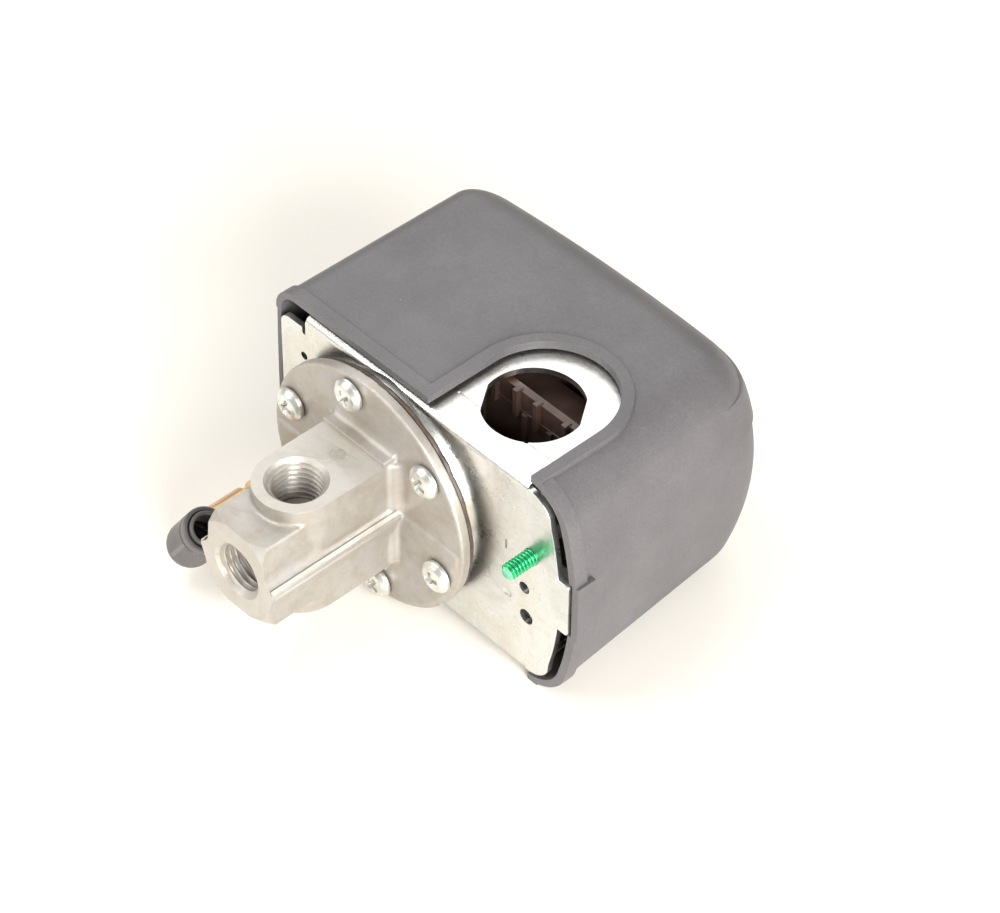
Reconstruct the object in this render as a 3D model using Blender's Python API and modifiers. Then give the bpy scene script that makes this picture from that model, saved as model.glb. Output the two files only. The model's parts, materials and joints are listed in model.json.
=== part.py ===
"""A diaphragm pressure switch for a small air compressor, lying on its wide side.

+Y runs from the pressure port to the closed end of the cover, +X along the base plate and +Z up.
The origin is at the bottom centre of the whole switch. Everything is in metres.
"""

import math

import bmesh
import bpy
from mathutils import Matrix, Vector

MM = 0.001
GAP = 0.3 * MM                       # left between pieces that touch
MID_Z = 30.3 * MM                    # the switch is symmetric about this height

# cover
COVER_RIM_Y = -11.0 * MM
COVER_END_Y = 53.9 * MM              # the crown of the closed end
COVER_CROWN, COVER_BOW = 5.1 * MM, 2.2 * MM      # how far the closed end falls back up and down, and sideways
COVER_HALF_X = 46.2 * MM
COVER_HALF_Z = 29.8 * MM
COVER_WALL = 1.2 * MM
COVER_DRAFT_X = (3.8 * MM, 0.4 * MM)        # how far the right and left sides lean in over the depth
COVER_DRAFT_Z = 0.5 * MM
COVER_RIGHT = (5.8 * MM, 8.0 * MM)        # how far the side bows out, and its corner radius
COVER_LEFT = (0.6 * MM, 5.5 * MM)
COVER_TOP_EDGE = 9.0 * MM              # rounding onto the closed end, above and below
COVER_SIDE_EDGE = (11.9 * MM, 7.9 * MM)      # and at the right and left sides
BEAD_HEIGHT = 0.5 * MM
BEAD_DEPTH = 3.4 * MM
CUTOUT_X = 17.2 * MM                 # middle of the U cut-outs
CUTOUT_Y = 8.0 * MM                  # centre of their round end
CUTOUT_R = 15.4 * MM
LIP_R = 18.2 * MM
NUT_RECESS_R = 9.0 * MM
NUT_RECESS_DEPTH = 7.0 * MM

# base plate
PLATE_FRONT_Y = -11.7 * MM
SHEET = 1.5 * MM
PLATE_HALF_Z = 27.6 * MM
PLATE_LEFT_X = -44.0 * MM
LEFT_EAR_DROP = 3.6 * MM               # the part left of the flanges is this much lower
PLATE_RIGHT_X = 42.8 * MM            # at mid height, where the rounded side is widest
PLATE_SIDE_R = 75.0 * MM
PLATE_CORNER = 8.0 * MM
FLANGE_X = (-36.0 * MM, 33.0 * MM)
FLANGE_TOP_Y = -3.5 * MM
EAR_X = (-2.0 * MM, 32.8 * MM)
EAR_TOP_Y = 25.0 * MM
CONDUIT_X = 16.0 * MM
CONDUIT_Y = 5.5 * MM
CONDUIT_R = 11.2 * MM
CONDUIT_FLAT = 10.5 * MM             # half the distance across the hole's two flats
CONDUIT_FLAT_TURN = math.radians(35)
CONDUIT_SEAT_R = 13.4 * MM
CONDUIT_SEAT_RISE = 0.1 * MM         # a coined seat round the hole, so that a fitting's shoulder clears the cover
SIDE_TAB_HALF_Z = 7.3 * MM
SIDE_TAB_X = 44.9 * MM
EMBOSS_R = 27.5 * MM
EMBOSS_RISE = 1.7 * MM

# manifold and diaphragm
DISC_X = -10.3 * MM
DISC_R = 29.6 * MM
DISC_REAR_Y = -15.0 * MM
DISC_FRONT_Y = -17.6 * MM
PLATEAU_RISE = 0.6 * MM
BLOCK_END_Y = -53.8 * MM
BLOCK_HALF_Z = 11.2 * MM
BLOCK_HALF_X = 8.2 * MM
COVE_X, COVE_Z = 8.8 * MM, 4.8 * MM      # where the side starts to flare out to the parting line
PAD_HALF_Z = 15.0 * MM
PAD_HALF_X = 9.5 * MM
PART_HALF_X = 11.3 * MM              # the block is widest at its parting line
PORT_Y = -36.8 * MM
PORT_R = 5.8 * MM
PORT_CHAMFER_R = 7.0 * MM
PORT_DEPTH = 10.0 * MM
GALLERY_R = 3.6 * MM
SCREW_CIRCLE_R = 24.7 * MM
SCREW_PHASE = math.radians(40)
SCREW_COUNT = 6
DIAPHRAGM_THICK = 1.0 * MM
PLUNGER_STEM_R = 4.5 * MM
PLUNGER_HEAD_R = 8.2 * MM

# lever and springs
PIVOT_X = -32.0 * MM
PIVOT_Y = 0.0
PIVOT_R = 1.5 * MM
LEVER_WEB_Y = -3.2 * MM
LEVER_HALF_Z = 11.3 * MM
LEVER_SHEET = 1.6 * MM
LEVER_X = (-42.0 * MM, 26.0 * MM)
RANGE_X = 4.0 * MM
RANGE_CAP_Y = 25.0 * MM
DIFF_X = -22.5 * MM
DIFF_CAP_Y = 14.0 * MM

# contacts
BLOCK_X = (-8.0 * MM, 36.0 * MM)
BLOCK_Y = (8.0 * MM, 20.0 * MM)
RAIL_Z = (8.6 * MM, 20.0 * MM)       # each rail's near and far side, from mid height
FRONT_WALL_Z = 25.2 * MM                # how far the ribbed wall reaches from mid height
BRIDGE_X = 13.5 * MM
CARRIER_X = 22.0 * MM
POLE_Z = 14.2 * MM                   # each pole's distance from mid height

# release valve
VALVE_X = -38.4 * MM
VALVE_Z = 10.2 * MM
VALVE_R = 4.8 * MM
VALVE_FRONT_Y = -37.0 * MM
ELBOW_Y = -43.8 * MM
ELBOW_R = 5.3 * MM
ELBOW_TURN = math.radians(56)        # the mouth's angle above +X, about the valve's axis
ELBOW_REACH = 10.5 * MM
TUBE_R = 3.1 * MM

for old_object in list(bpy.data.objects):
    bpy.data.objects.remove(old_object)

parts = bpy.data.collections.new("pressure_switch")
cutters = bpy.data.collections.new("cutters")
for made_collection in (parts, cutters):
    bpy.context.scene.collection.children.link(made_collection)

ALONG_X = (math.pi / 2, 0.0, math.pi / 2)      # an outline drawn in Y and Z, thick along X
ALONG_Y = (math.pi / 2, 0.0, 0.0)              # an outline drawn in X and Z, thick along Y
ALONG_Z = (0.0, 0.0, 0.0)                      # an outline drawn in X and Y, thick along Z
TURNED_Y = (-math.pi / 2, 0.0, 0.0)            # a profile turned about Y, its height along +Y


# ---------------------------------------------------------------- materials

def material(name, color, roughness, metallic):
    made = bpy.data.materials.new(name)
    made.use_nodes = True
    shader = made.node_tree.nodes["Principled BSDF"]
    shader.inputs["Base Color"].default_value = (*color, 1.0)
    shader.inputs["Roughness"].default_value = roughness
    shader.inputs["Metallic"].default_value = metallic
    return made


CAST = material("cast_aluminium", (0.62, 0.59, 0.56), 0.45, 0.9)
ZINC = material("zinc_plated_steel", (0.78, 0.77, 0.74), 0.22, 1.0)
BRASS = material("brass", (0.72, 0.50, 0.24), 0.3, 1.0)
BLACK = material("black_plastic", (0.035, 0.033, 0.036), 0.5, 0.0)
PHENOLIC = material("phenolic", (0.045, 0.026, 0.02), 0.45, 0.0)
RUBBER = material("rubber", (0.05, 0.03, 0.022), 0.6, 0.0)
GREEN = material("green_plated_steel", (0.03, 0.32, 0.12), 0.3, 0.8)
SPRING = material("spring_steel", (0.45, 0.45, 0.47), 0.3, 1.0)
WHITE = material("white_plastic", (0.7, 0.68, 0.62), 0.5, 0.0)
GREY = material("grey_plastic", (0.22, 0.21, 0.21), 0.5, 0.0)


# ---------------------------------------------------------------- makers

def add(name, mesh, finish, home=parts):
    """A new object in the frame's place, with its finish."""
    made = bpy.data.objects.new(name, mesh)
    home.objects.link(made)
    if finish:
        mesh.materials.append(finish)
    if home is cutters:
        made.hide_render = True
        made.display_type = "WIRE"
    return made


def box(name, low, high, finish=None, home=cutters):
    """A box from its lowest to its highest corner."""
    low = Vector(low)
    high = Vector(high)
    work = bmesh.new()
    bmesh.ops.create_cube(work, size=1.0)
    size = high - low
    bmesh.ops.scale(work, vec=size, verts=work.verts)
    mesh = bpy.data.meshes.new(name)
    work.to_mesh(mesh)
    work.free()
    made = add(name, mesh, finish, home)
    made.location = (low + high) / 2
    return made


def rod(name, radius, start, end, finish=None, home=cutters, sides=32, end_radius=None):
    """A cylinder, or a cone with another end radius, from start to end."""
    start = Vector(start)
    end = Vector(end)
    work = bmesh.new()
    length = (end - start).length
    far = radius if end_radius is None else end_radius
    bmesh.ops.create_cone(work, cap_ends=True, segments=sides, radius1=radius, radius2=far, depth=length)
    mesh = bpy.data.meshes.new(name)
    work.to_mesh(mesh)
    work.free()
    mesh.shade_smooth()
    mesh.set_sharp_from_angle(angle=math.radians(35))
    made = add(name, mesh, finish, home)
    made.location = (start + end) / 2
    made.rotation_mode = "QUATERNION"
    made.rotation_quaternion = (end - start).to_track_quat("Z", "Y")
    return made


def turned(name, profile, place, finish=None, home=cutters, sides=48, rotation=TURNED_Y):
    """A profile of (radius, height) points, listed top to bottom, turned about its height."""
    work = bmesh.new()
    points = [work.verts.new((radius, 0.0, height)) for radius, height in profile]
    for first, second in zip(points, points[1:]):
        work.edges.new((first, second))
    mesh = bpy.data.meshes.new(name)
    work.to_mesh(mesh)
    work.free()
    made = add(name, mesh, finish, home)
    made.location = place
    made.rotation_euler = rotation
    screw = made.modifiers.new("turn", "SCREW")
    screw.axis = "Z"
    screw.steps = sides
    screw.render_steps = sides
    screw.use_merge_vertices = True
    screw.merge_threshold = 0.00001
    screw.use_smooth_shade = True
    smooth_by_angle(made)
    return made


def smooth_by_angle(made):
    """Keep hard edges hard on a smooth-shaded turned piece."""
    split = made.modifiers.new("edges", "EDGE_SPLIT")
    split.split_angle = math.radians(35)
    split.show_viewport = False
    split.show_render = False


def outline_solid(name, points, middle, half, rotation, finish=None, home=cutters):
    """A flat closed outline given half a thickness each way about its middle."""
    curve = bpy.data.curves.new(name, "CURVE")
    curve.dimensions = "2D"
    curve.fill_mode = "BOTH"
    curve.extrude = half
    line = curve.splines.new("POLY")
    line.points.add(len(points) - 1)
    for point, (across, along) in zip(line.points, points):
        point.co = (across, along, 0.0, 1.0)
    line.use_cyclic_u = True
    guide = bpy.data.objects.new(name + "_outline", curve)
    bpy.context.scene.collection.objects.link(guide)
    guide.location = middle
    guide.rotation_euler = rotation
    bpy.context.view_layer.update()
    mesh = mesh_of(guide)
    made = add(name, mesh, finish, home)
    made.matrix_world = guide.matrix_world.copy()
    bpy.data.objects.remove(guide)
    return made


def mesh_of(curve_object):
    """A curve's evaluated mesh, with its loose caps welded on."""
    view = bpy.context.evaluated_depsgraph_get()
    mesh = bpy.data.meshes.new_from_object(curve_object.evaluated_get(view))
    work = bmesh.new()
    work.from_mesh(mesh)
    bmesh.ops.remove_doubles(work, verts=work.verts, dist=0.000001)
    bmesh.ops.recalc_face_normals(work, faces=work.faces)
    work.to_mesh(mesh)
    work.free()
    return mesh


def wire(name, points, radius, finish, smooth_sides=2):
    """A round wire along a list of points."""
    curve = bpy.data.curves.new(name, "CURVE")
    curve.dimensions = "3D"
    curve.bevel_depth = radius
    curve.bevel_resolution = smooth_sides
    curve.use_fill_caps = True
    line = curve.splines.new("POLY")
    line.points.add(len(points) - 1)
    for point, place in zip(line.points, points):
        point.co = (*place, 1.0)
    curve.materials.append(finish)
    made = bpy.data.objects.new(name, curve)
    parts.objects.link(made)
    return made


def arc(centre, radius, start, end, steps):
    """Points on an arc, angles in degrees."""
    angles = [math.radians(start + (end - start) * step / steps) for step in range(steps + 1)]
    return [(centre[0] + radius * math.cos(a), centre[1] + radius * math.sin(a)) for a in angles]


def combine(target, tool, operation):
    """Cut, join or intersect a target with a tool that goes to the cutters."""
    step = target.modifiers.new(operation.lower(), "BOOLEAN")
    step.operation = operation
    step.solver = "EXACT"
    step.object = tool
    if tool.name in parts.objects:
        parts.objects.unlink(tool)
        cutters.objects.link(tool)
    tool.hide_render = True
    tool.display_type = "WIRE"


def cut(target, *tools):
    for tool in tools:
        combine(target, tool, "DIFFERENCE")


def join(target, *tools):
    for tool in tools:
        combine(target, tool, "UNION")


# ---------------------------------------------------------------- manifold

def manifold():
    """Die-cast block with its round flange, three ports and the chamber behind the diaphragm."""
    body = rod("manifold", DISC_R, (DISC_X, DISC_REAR_Y, MID_Z), (DISC_X, DISC_FRONT_Y, MID_Z), CAST, parts, 64)
    plateau_y = (DISC_FRONT_Y - PLATEAU_RISE, DISC_REAR_Y - 0.5 * MM)
    lower_half = arc((DISC_X, MID_Z), DISC_R - 1.2 * MM, 179.3, 360.7, 30)
    plateau = outline_solid("plateau", lower_half, (0, sum(plateau_y) / 2, 0), (plateau_y[1] - plateau_y[0]) / 2, ALONG_Y)
    join(body, plateau, manifold_block(), manifold_pads())
    chamber = rod("chamber", 20 * MM, (DISC_X, DISC_REAR_Y + MM, MID_Z), (DISC_X, DISC_REAR_Y - 1.1 * MM, MID_Z), sides=40)
    cut(body, chamber)
    for number in range(SCREW_COUNT):
        x, z = screw_place(number)
        cut(body, rod(f"screw_hole_{number}", 2.3 * MM, (x, DISC_REAR_Y + MM, z), (x, DISC_FRONT_Y - MM, z), sides=14))
    cut(body, *port_cutters())


def manifold_block():
    """The drafted body, its far end turned to a blunt cone."""
    right = [
        (BLOCK_HALF_X + MM, -BLOCK_HALF_Z), (PART_HALF_X - 1.4 * MM, -COVE_Z), (PART_HALF_X, -0.5 * MM),
        (PART_HALF_X, 0.5 * MM), (COVE_X, COVE_Z), (BLOCK_HALF_X, BLOCK_HALF_Z),
    ]
    section = [(DISC_X + x, MID_Z + z) for x, z in right] + [(DISC_X - x, MID_Z + z) for x, z in reversed(right)]
    rear = DISC_FRONT_Y + MM
    middle = (rear + BLOCK_END_Y) / 2
    block = outline_solid("block", section, (0, middle, 0), (rear - BLOCK_END_Y) / 2, ALONG_Y)
    length = rear - BLOCK_END_Y
    nose = turned("nose", [(0, length + MM), (18 * MM, length + MM), (18 * MM, 5.6 * MM), (11.7 * MM, -0.0001 * MM),
                           (0, -0.0001 * MM)], (DISC_X, BLOCK_END_Y, MID_Z), sides=48)
    combine(block, nose, "INTERSECT")
    return block


def manifold_pads():
    """The machined pads of the upper and lower ports, with a cast fillet up to the flange."""
    outline = [(DISC_X + PAD_HALF_X, DISC_FRONT_Y + MM), (DISC_X - PAD_HALF_X, DISC_FRONT_Y + MM)]
    outline += arc((DISC_X, PORT_Y), PAD_HALF_X, 180, 360, 20)
    pads = outline_solid("pads", outline, (0, 0, MID_Z), PAD_HALF_Z, ALONG_Z)
    fillet = 3.6 * MM
    corner_y = DISC_FRONT_Y - fillet
    profile = [(DISC_FRONT_Y + MM, -PAD_HALF_Z - fillet), (DISC_FRONT_Y, -PAD_HALF_Z - fillet)]
    profile += arc((corner_y, -PAD_HALF_Z - fillet), fillet, 0, 90, 6)[1:]
    profile += arc((corner_y, PAD_HALF_Z + fillet), fillet, 270, 360, 6)
    profile += [(DISC_FRONT_Y + MM, PAD_HALF_Z + fillet)]
    web = outline_solid("pad_fillets", profile, (DISC_X, 0, MID_Z), PAD_HALF_X - 0.3 * MM, ALONG_X)
    join(pads, web)
    return pads


def port_cutters():
    """Threaded bores of the three ports, chamfered, and the gallery to the diaphragm."""
    bore = [(0, MM), (PORT_CHAMFER_R + MM, MM), (PORT_R, -(PORT_CHAMFER_R - PORT_R)),
            (PORT_R - 0.3 * MM, -PORT_DEPTH), (GALLERY_R, -PORT_DEPTH - 2.2 * MM), (0, -PORT_DEPTH - 2.2 * MM)]
    upper = turned("upper_port", bore, (DISC_X, PORT_Y, MID_Z + PAD_HALF_Z), rotation=(0, 0, 0), sides=32)
    lower = turned("lower_port", bore, (DISC_X, PORT_Y, MID_Z - PAD_HALF_Z), rotation=(math.pi, 0, 0), sides=32)
    end = turned("end_port", bore, (DISC_X, BLOCK_END_Y, MID_Z), rotation=(math.pi / 2, 0, 0), sides=32)
    across = rod("cross_gallery", 3.2 * MM, (DISC_X, PORT_Y, MID_Z - 7 * MM), (DISC_X, PORT_Y, MID_Z + 7 * MM), sides=24)
    along = rod("long_gallery", 2.45 * MM, (DISC_X, BLOCK_END_Y + PORT_DEPTH - MM, MID_Z), (DISC_X, DISC_REAR_Y - 0.4 * MM, MID_Z), sides=22)
    return along, across, upper, lower, end


def screw_place(number):
    """Where a flange screw sits, as x and z."""
    turn = SCREW_PHASE + number * 2 * math.pi / SCREW_COUNT
    return DISC_X + SCREW_CIRCLE_R * math.cos(turn), MID_Z + SCREW_CIRCLE_R * math.sin(turn)


def pan_screw(name, x, seat_y, z, head_r, head_h, shank_r, length, finish, turn=0.0, points=-1):
    """A pan-head screw whose head stands on seat_y, pointing along +Y, or -Y with points=1."""
    profile = [(0, length), (shank_r - 0.4 * MM, length), (shank_r, length - 0.5 * MM), (shank_r, 0), (head_r, 0)]
    profile += [(r, -h) for r, h in arc((head_r - 0.8 * MM, head_h - 0.8 * MM), 0.8 * MM, 0, 70, 3)]
    profile += [(head_r * 0.45, -head_h), (0, -head_h)]
    rotation = TURNED_Y if points < 0 else (math.pi / 2, 0.0, 0.0)
    screw = turned(name, profile, (x, seat_y, z), finish, parts, 18, rotation)
    front = seat_y - head_h if points < 0 else seat_y + head_h
    back = seat_y - head_h * 0.45 if points < 0 else seat_y + head_h * 0.45
    for number in range(2):
        slot = box(f"{name}_slot_{number}", (-head_r * 0.55, min(front, back) - (MM if points < 0 else 0) - seat_y, -0.45 * MM),
                   (head_r * 0.55, max(front, back) + (0 if points < 0 else MM) - seat_y, 0.45 * MM))
        slot.matrix_world = (Matrix.Translation((x, seat_y, z)) @ Matrix.Rotation(turn + number * math.pi / 2, 4, "Y")
                             @ Matrix.Translation(slot.location))
        cut(screw, slot)
    return screw


def flange_screws():
    for number in range(SCREW_COUNT):
        x, z = screw_place(number)
        on_plateau = z < MID_Z + 2 * MM
        seat = DISC_FRONT_Y - (PLATEAU_RISE if on_plateau else 0) - GAP
        pan_screw(f"flange_screw_{number + 1}", x, seat, z, 3.9 * MM, 2.4 * MM, 2.0 * MM, 7.5 * MM, ZINC, 0.5 + number)


def diaphragm():
    """Rubber sheet clamped between the flange and the embossed plate."""
    front = DISC_REAR_Y + GAP
    sheet = rod("diaphragm", DISC_R - 0.4 * MM, (DISC_X, front, MID_Z), (DISC_X, front + DIAPHRAGM_THICK, MID_Z),
                RUBBER, parts, 56)
    for number in range(SCREW_COUNT):
        x, z = screw_place(number)
        cut(sheet, rod(f"diaphragm_hole_{number}", 2.3 * MM, (x, front - MM, z), (x, front + 3 * MM, z), sides=12))


# ---------------------------------------------------------------- base plate

def plate_outline():
    """Left side straight, right side bowed, all four corners rounded; its edges lie just inside the flanges."""
    half = PLATE_HALF_Z - 0.15 * MM
    corner = PLATE_CORNER
    side_centre_x = PLATE_RIGHT_X - PLATE_SIDE_R
    reach = math.degrees(math.asin((half - corner) / PLATE_SIDE_R))
    side = arc((side_centre_x, MID_Z), PLATE_SIDE_R, -reach, reach, 12)
    corner_x = side[0][0] - corner * math.cos(math.radians(reach))
    lower = arc((corner_x, MID_Z - half + corner), corner, -90, -reach, 6)
    upper = arc((corner_x, MID_Z + half - corner), corner, reach, 90, 6)
    left_r, step_x = 2.6 * MM, FLANGE_X[0] - 0.5 * MM
    ear_half = half - LEFT_EAR_DROP
    left = [(step_x, MID_Z + half), (step_x, MID_Z + ear_half)]
    left += arc((PLATE_LEFT_X + left_r, MID_Z + ear_half - left_r), left_r, 90, 180, 4)
    left += arc((PLATE_LEFT_X + left_r, MID_Z - ear_half + left_r), left_r, 180, 270, 4)
    left += [(step_x, MID_Z - ear_half), (step_x, MID_Z - half)]
    return lower[:-1] + side + upper[1:] + left


def ear_outline():
    """One conduit ear and its low flange, seen along Z."""
    ear_r = 6.0 * MM
    points = [(FLANGE_X[0], PLATE_FRONT_Y + 0.5 * MM), (FLANGE_X[1], PLATE_FRONT_Y + 0.5 * MM)]
    points += arc((EAR_X[1] - ear_r, EAR_TOP_Y - ear_r), ear_r, 0, 90, 6)
    points += arc((EAR_X[0] + ear_r, EAR_TOP_Y - ear_r), ear_r, 90, 180, 6)
    points += [(EAR_X[0], FLANGE_TOP_Y), (FLANGE_X[0], FLANGE_TOP_Y)]
    return points


def base_plate():
    """Plated steel channel: web, two flanges with conduit ears, side tabs, and the emboss under the diaphragm."""
    rear = PLATE_FRONT_Y + SHEET
    middle_y = (PLATE_FRONT_Y + rear) / 2
    plate = outline_solid("base_plate", plate_outline(), (0, middle_y, 0), SHEET / 2, ALONG_Y, ZINC, parts)
    for side, name in ((1, "upper"), (-1, "lower")):
        middle_z = MID_Z + side * (PLATE_HALF_Z - SHEET / 2)
        ear = outline_solid(f"{name}_ear", ear_outline(), (0, 0, middle_z), SHEET / 2, ALONG_Z)
        seat_top = MID_Z + side * (PLATE_HALF_Z + CONDUIT_SEAT_RISE)
        seat = rod(f"{name}_seat", CONDUIT_SEAT_R, (CONDUIT_X, CONDUIT_Y, middle_z), (CONDUIT_X, CONDUIT_Y, seat_top), sides=44)
        join(plate, ear, seat)
        cut(plate, conduit_hole(name, middle_z))
    tab = box("side_tab", (PLATE_RIGHT_X - 4 * MM, PLATE_FRONT_Y + 0.1 * MM, MID_Z - SIDE_TAB_HALF_Z),
              (SIDE_TAB_X, rear - 0.1 * MM, MID_Z + SIDE_TAB_HALF_Z))
    emboss = rod("emboss", EMBOSS_R, (DISC_X, rear - 0.2 * MM, MID_Z), (DISC_X, PLATE_FRONT_Y - EMBOSS_RISE, MID_Z), sides=48)
    hollow = rod("emboss_hollow", EMBOSS_R - SHEET, (DISC_X, rear + MM, MID_Z),
                 (DISC_X, PLATE_FRONT_Y - EMBOSS_RISE + SHEET, MID_Z), sides=48)
    join(plate, emboss)
    cut(plate, hollow)
    join(plate, tab)
    cut(plate, *plate_holes())


def conduit_hole(name, middle_z):
    """A round knock-out hole with two flats."""
    flat_angle = math.degrees(math.acos(CONDUIT_FLAT / CONDUIT_R))
    turn = math.degrees(CONDUIT_FLAT_TURN)
    points = arc((CONDUIT_X, CONDUIT_Y), CONDUIT_R, turn + flat_angle, turn + 180 - flat_angle, 18)
    points += arc((CONDUIT_X, CONDUIT_Y), CONDUIT_R, turn + 180 + flat_angle, turn + 360 - flat_angle, 18)
    return outline_solid(f"{name}_conduit_hole", points, (0, 0, middle_z), 3 * MM, ALONG_Z)


def plate_holes():
    """Round holes through the web: plunger, studs, screws, valve, earth screw and two spare ones."""
    near = PLATE_FRONT_Y - EMBOSS_RISE - 2 * MM
    far = PLATE_FRONT_Y + SHEET + 2 * MM
    places = [
        ("plunger_hole", DISC_X, MID_Z, PLUNGER_HEAD_R + 0.6 * MM), ("range_stud_hole", RANGE_X, MID_Z, 2.6 * MM),
        ("diff_stud_hole", DIFF_X, MID_Z, 1.8 * MM), ("valve_hole", VALVE_X, VALVE_Z, 3.3 * MM),
        ("earth_hole", 33.8 * MM, 38.5 * MM, 2.3 * MM), ("spare_hole_1", 31.9 * MM, 27.8 * MM, 1.5 * MM),
        ("spare_hole_2", 32.6 * MM, 19.6 * MM, 1.9 * MM), ("relief_hole", -36.6 * MM, 46.4 * MM, 1.0 * MM),
    ]
    for number in range(SCREW_COUNT):
        places.append((f"plate_screw_hole_{number}", *screw_place(number), 2.3 * MM))
    return [rod(name, radius, (x, near, z), (x, far, z), sides=14) for name, x, z, radius in places]


# ---------------------------------------------------------------- cover

def cover_section(inset):
    """The cover's outline seen along Y, drawn in by an inset: rounded corners and bowed sides."""
    half_z = COVER_HALF_Z - inset
    points = []
    for side_x, side_z in ((1, 1), (-1, 1), (-1, -1), (1, -1)):
        bulge, corner = COVER_RIGHT if side_x > 0 else COVER_LEFT
        corner = max(corner - inset, 1.5 * MM)
        reach = COVER_HALF_X - bulge - inset
        start = {(1, 1): 0, (-1, 1): 90, (-1, -1): 180, (1, -1): 270}[(side_x, side_z)]
        turned_points = arc((side_x * (reach - corner), side_z * (half_z - corner)), corner, start, start + 90, 4)
        if points:
            points += between(points[-1], turned_points[0], 6)
        points += turned_points
    points += between(points[-1], points[0], 6)
    bowed = []
    for x, z in points:
        bulge = (COVER_RIGHT if x > 0 else COVER_LEFT)[0]
        share = min(1.0, abs(x) / (COVER_HALF_X - bulge))
        bowed.append((x + math.copysign(bulge * (1 - (z / half_z) ** 2) * share, x), z))
    return bowed


def between(first, last, steps):
    """Evenly spaced points between two, leaving both out."""
    return [(first[0] + (last[0] - first[0]) * step / steps, first[1] + (last[1] - first[1]) * step / steps)
            for step in range(1, steps)]


def crown_y(x, z):
    """How far the closed end reaches, measured from its middle sideways and up or down."""
    return COVER_END_Y - COVER_CROWN * (z / COVER_HALF_Z) ** 2 - COVER_BOW * (x / COVER_HALF_X) ** 2


def drawn_in(point, in_x, in_z):
    """A point of the outline moved towards the cover's middle."""
    return point[0] * (1 - in_x / COVER_HALF_X), point[1] * (1 - in_z / COVER_HALF_Z)


def by_side(point, pair):
    """The value for the right or the left side."""
    return pair[0] if point[0] > 0 else pair[1]


def edge_radii(section):
    """The rounding onto the closed end at each point: generous at the short sides, smaller at the wide ones."""
    radii = []
    for index in range(len(section)):
        before, after = section[index - 1], section[(index + 1) % len(section)]
        facing = abs(after[1] - before[1]) / math.hypot(after[0] - before[0], after[1] - before[1])
        side_edge = by_side(section[index], COVER_SIDE_EDGE)
        radii.append(COVER_TOP_EDGE + (side_edge - COVER_TOP_EDGE) * facing ** 1.5)
    return radii


def cover_rings():
    """Sections of the cover's outer skin from the rim to the middle of the closed end."""
    rings = []
    for drop, extra in ((0.0, BEAD_HEIGHT), (BEAD_DEPTH - 0.3 * MM, BEAD_HEIGHT), (BEAD_DEPTH, 0.0)):
        rings.append([(x, COVER_RIM_Y + drop, z) for x, z in cover_section(-extra)])
    section = cover_section(0.0)
    radii = edge_radii(section)
    base = COVER_RIM_Y + BEAD_DEPTH
    for share in (0.33, 0.66):
        ring = [drawn_in(point, by_side(point, COVER_DRAFT_X) * share, COVER_DRAFT_Z * share) for point in section]
        rings.append([(x, base + (crown_y(x, z) - radius - base) * share, z) for (x, z), radius in zip(ring, radii)])
    for step in range(6):
        turn = math.radians(90 * step / 5)
        fold = 1 - math.cos(turn)
        ring = [drawn_in(point, by_side(point, COVER_DRAFT_X) + by_side(point, COVER_SIDE_EDGE) * fold,
                         COVER_DRAFT_Z + COVER_TOP_EDGE * fold) for point in section]
        rings.append([(x, crown_y(x, z) - radius * (1 - math.sin(turn)), z) for (x, z), radius in zip(ring, radii)])
    final = [(x, z) for x, _, z in rings[-1]]
    for share in (0.75, 0.4):
        rings.append([(x * share, crown_y(x * share, z * share), z * share) for x, z in final])
    return rings


def cover():
    """Black moulded cover: a shell open at the rim, cut out on both wide sides."""
    work = bmesh.new()
    rows = [[work.verts.new((x, y, z + MID_Z)) for x, y, z in ring] for ring in cover_rings()]
    for near, far in zip(rows, rows[1:]):
        for index in range(len(near)):
            after = (index + 1) % len(near)
            work.faces.new((near[index], near[after], far[after], far[index]))
    tip = work.verts.new((0.0, COVER_END_Y, MID_Z))
    last = rows[-1]
    for index in range(len(last)):
        work.faces.new((last[index], last[(index + 1) % len(last)], tip))
    bmesh.ops.recalc_face_normals(work, faces=work.faces)
    mesh = bpy.data.meshes.new("cover")
    work.to_mesh(mesh)
    work.free()
    mesh.shade_smooth()
    mesh.set_sharp_from_angle(angle=math.radians(40))
    shell = add("cover", mesh, BLACK)
    wall = shell.modifiers.new("wall", "SOLIDIFY")
    wall.thickness = COVER_WALL
    wall.offset = -1.0
    wall.use_even_offset = True
    join(shell, *cutout_lips(), nut_well())
    tab_room = box("tab_room", (SIDE_TAB_X - 3 * MM, COVER_RIM_Y - MM, MID_Z - SIDE_TAB_HALF_Z - GAP),
                   (SIDE_TAB_X + GAP, PLATE_FRONT_Y + SHEET + GAP, MID_Z + SIDE_TAB_HALF_Z + GAP))
    cut(shell, cutout_tool(), nut_recess(), tab_room)
    recess_stud = rod("cover_stud_hole", 3.4 * MM, (RANGE_X, COVER_END_Y - 20 * MM, MID_Z), (RANGE_X, COVER_END_Y + MM, MID_Z))
    cut(shell, recess_stud)


def u_outline(radius, start_y):
    """A U that opens at the rim."""
    return [(CUTOUT_X - radius, start_y), (CUTOUT_X + radius, start_y)] + arc((CUTOUT_X, CUTOUT_Y), radius, 0, 180, 22)


def cutout_tool():
    return outline_solid("cutout_tool", u_outline(CUTOUT_R, COVER_RIM_Y - 5 * MM), (0, 0, MID_Z), COVER_HALF_Z + 5 * MM, ALONG_Z)


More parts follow.
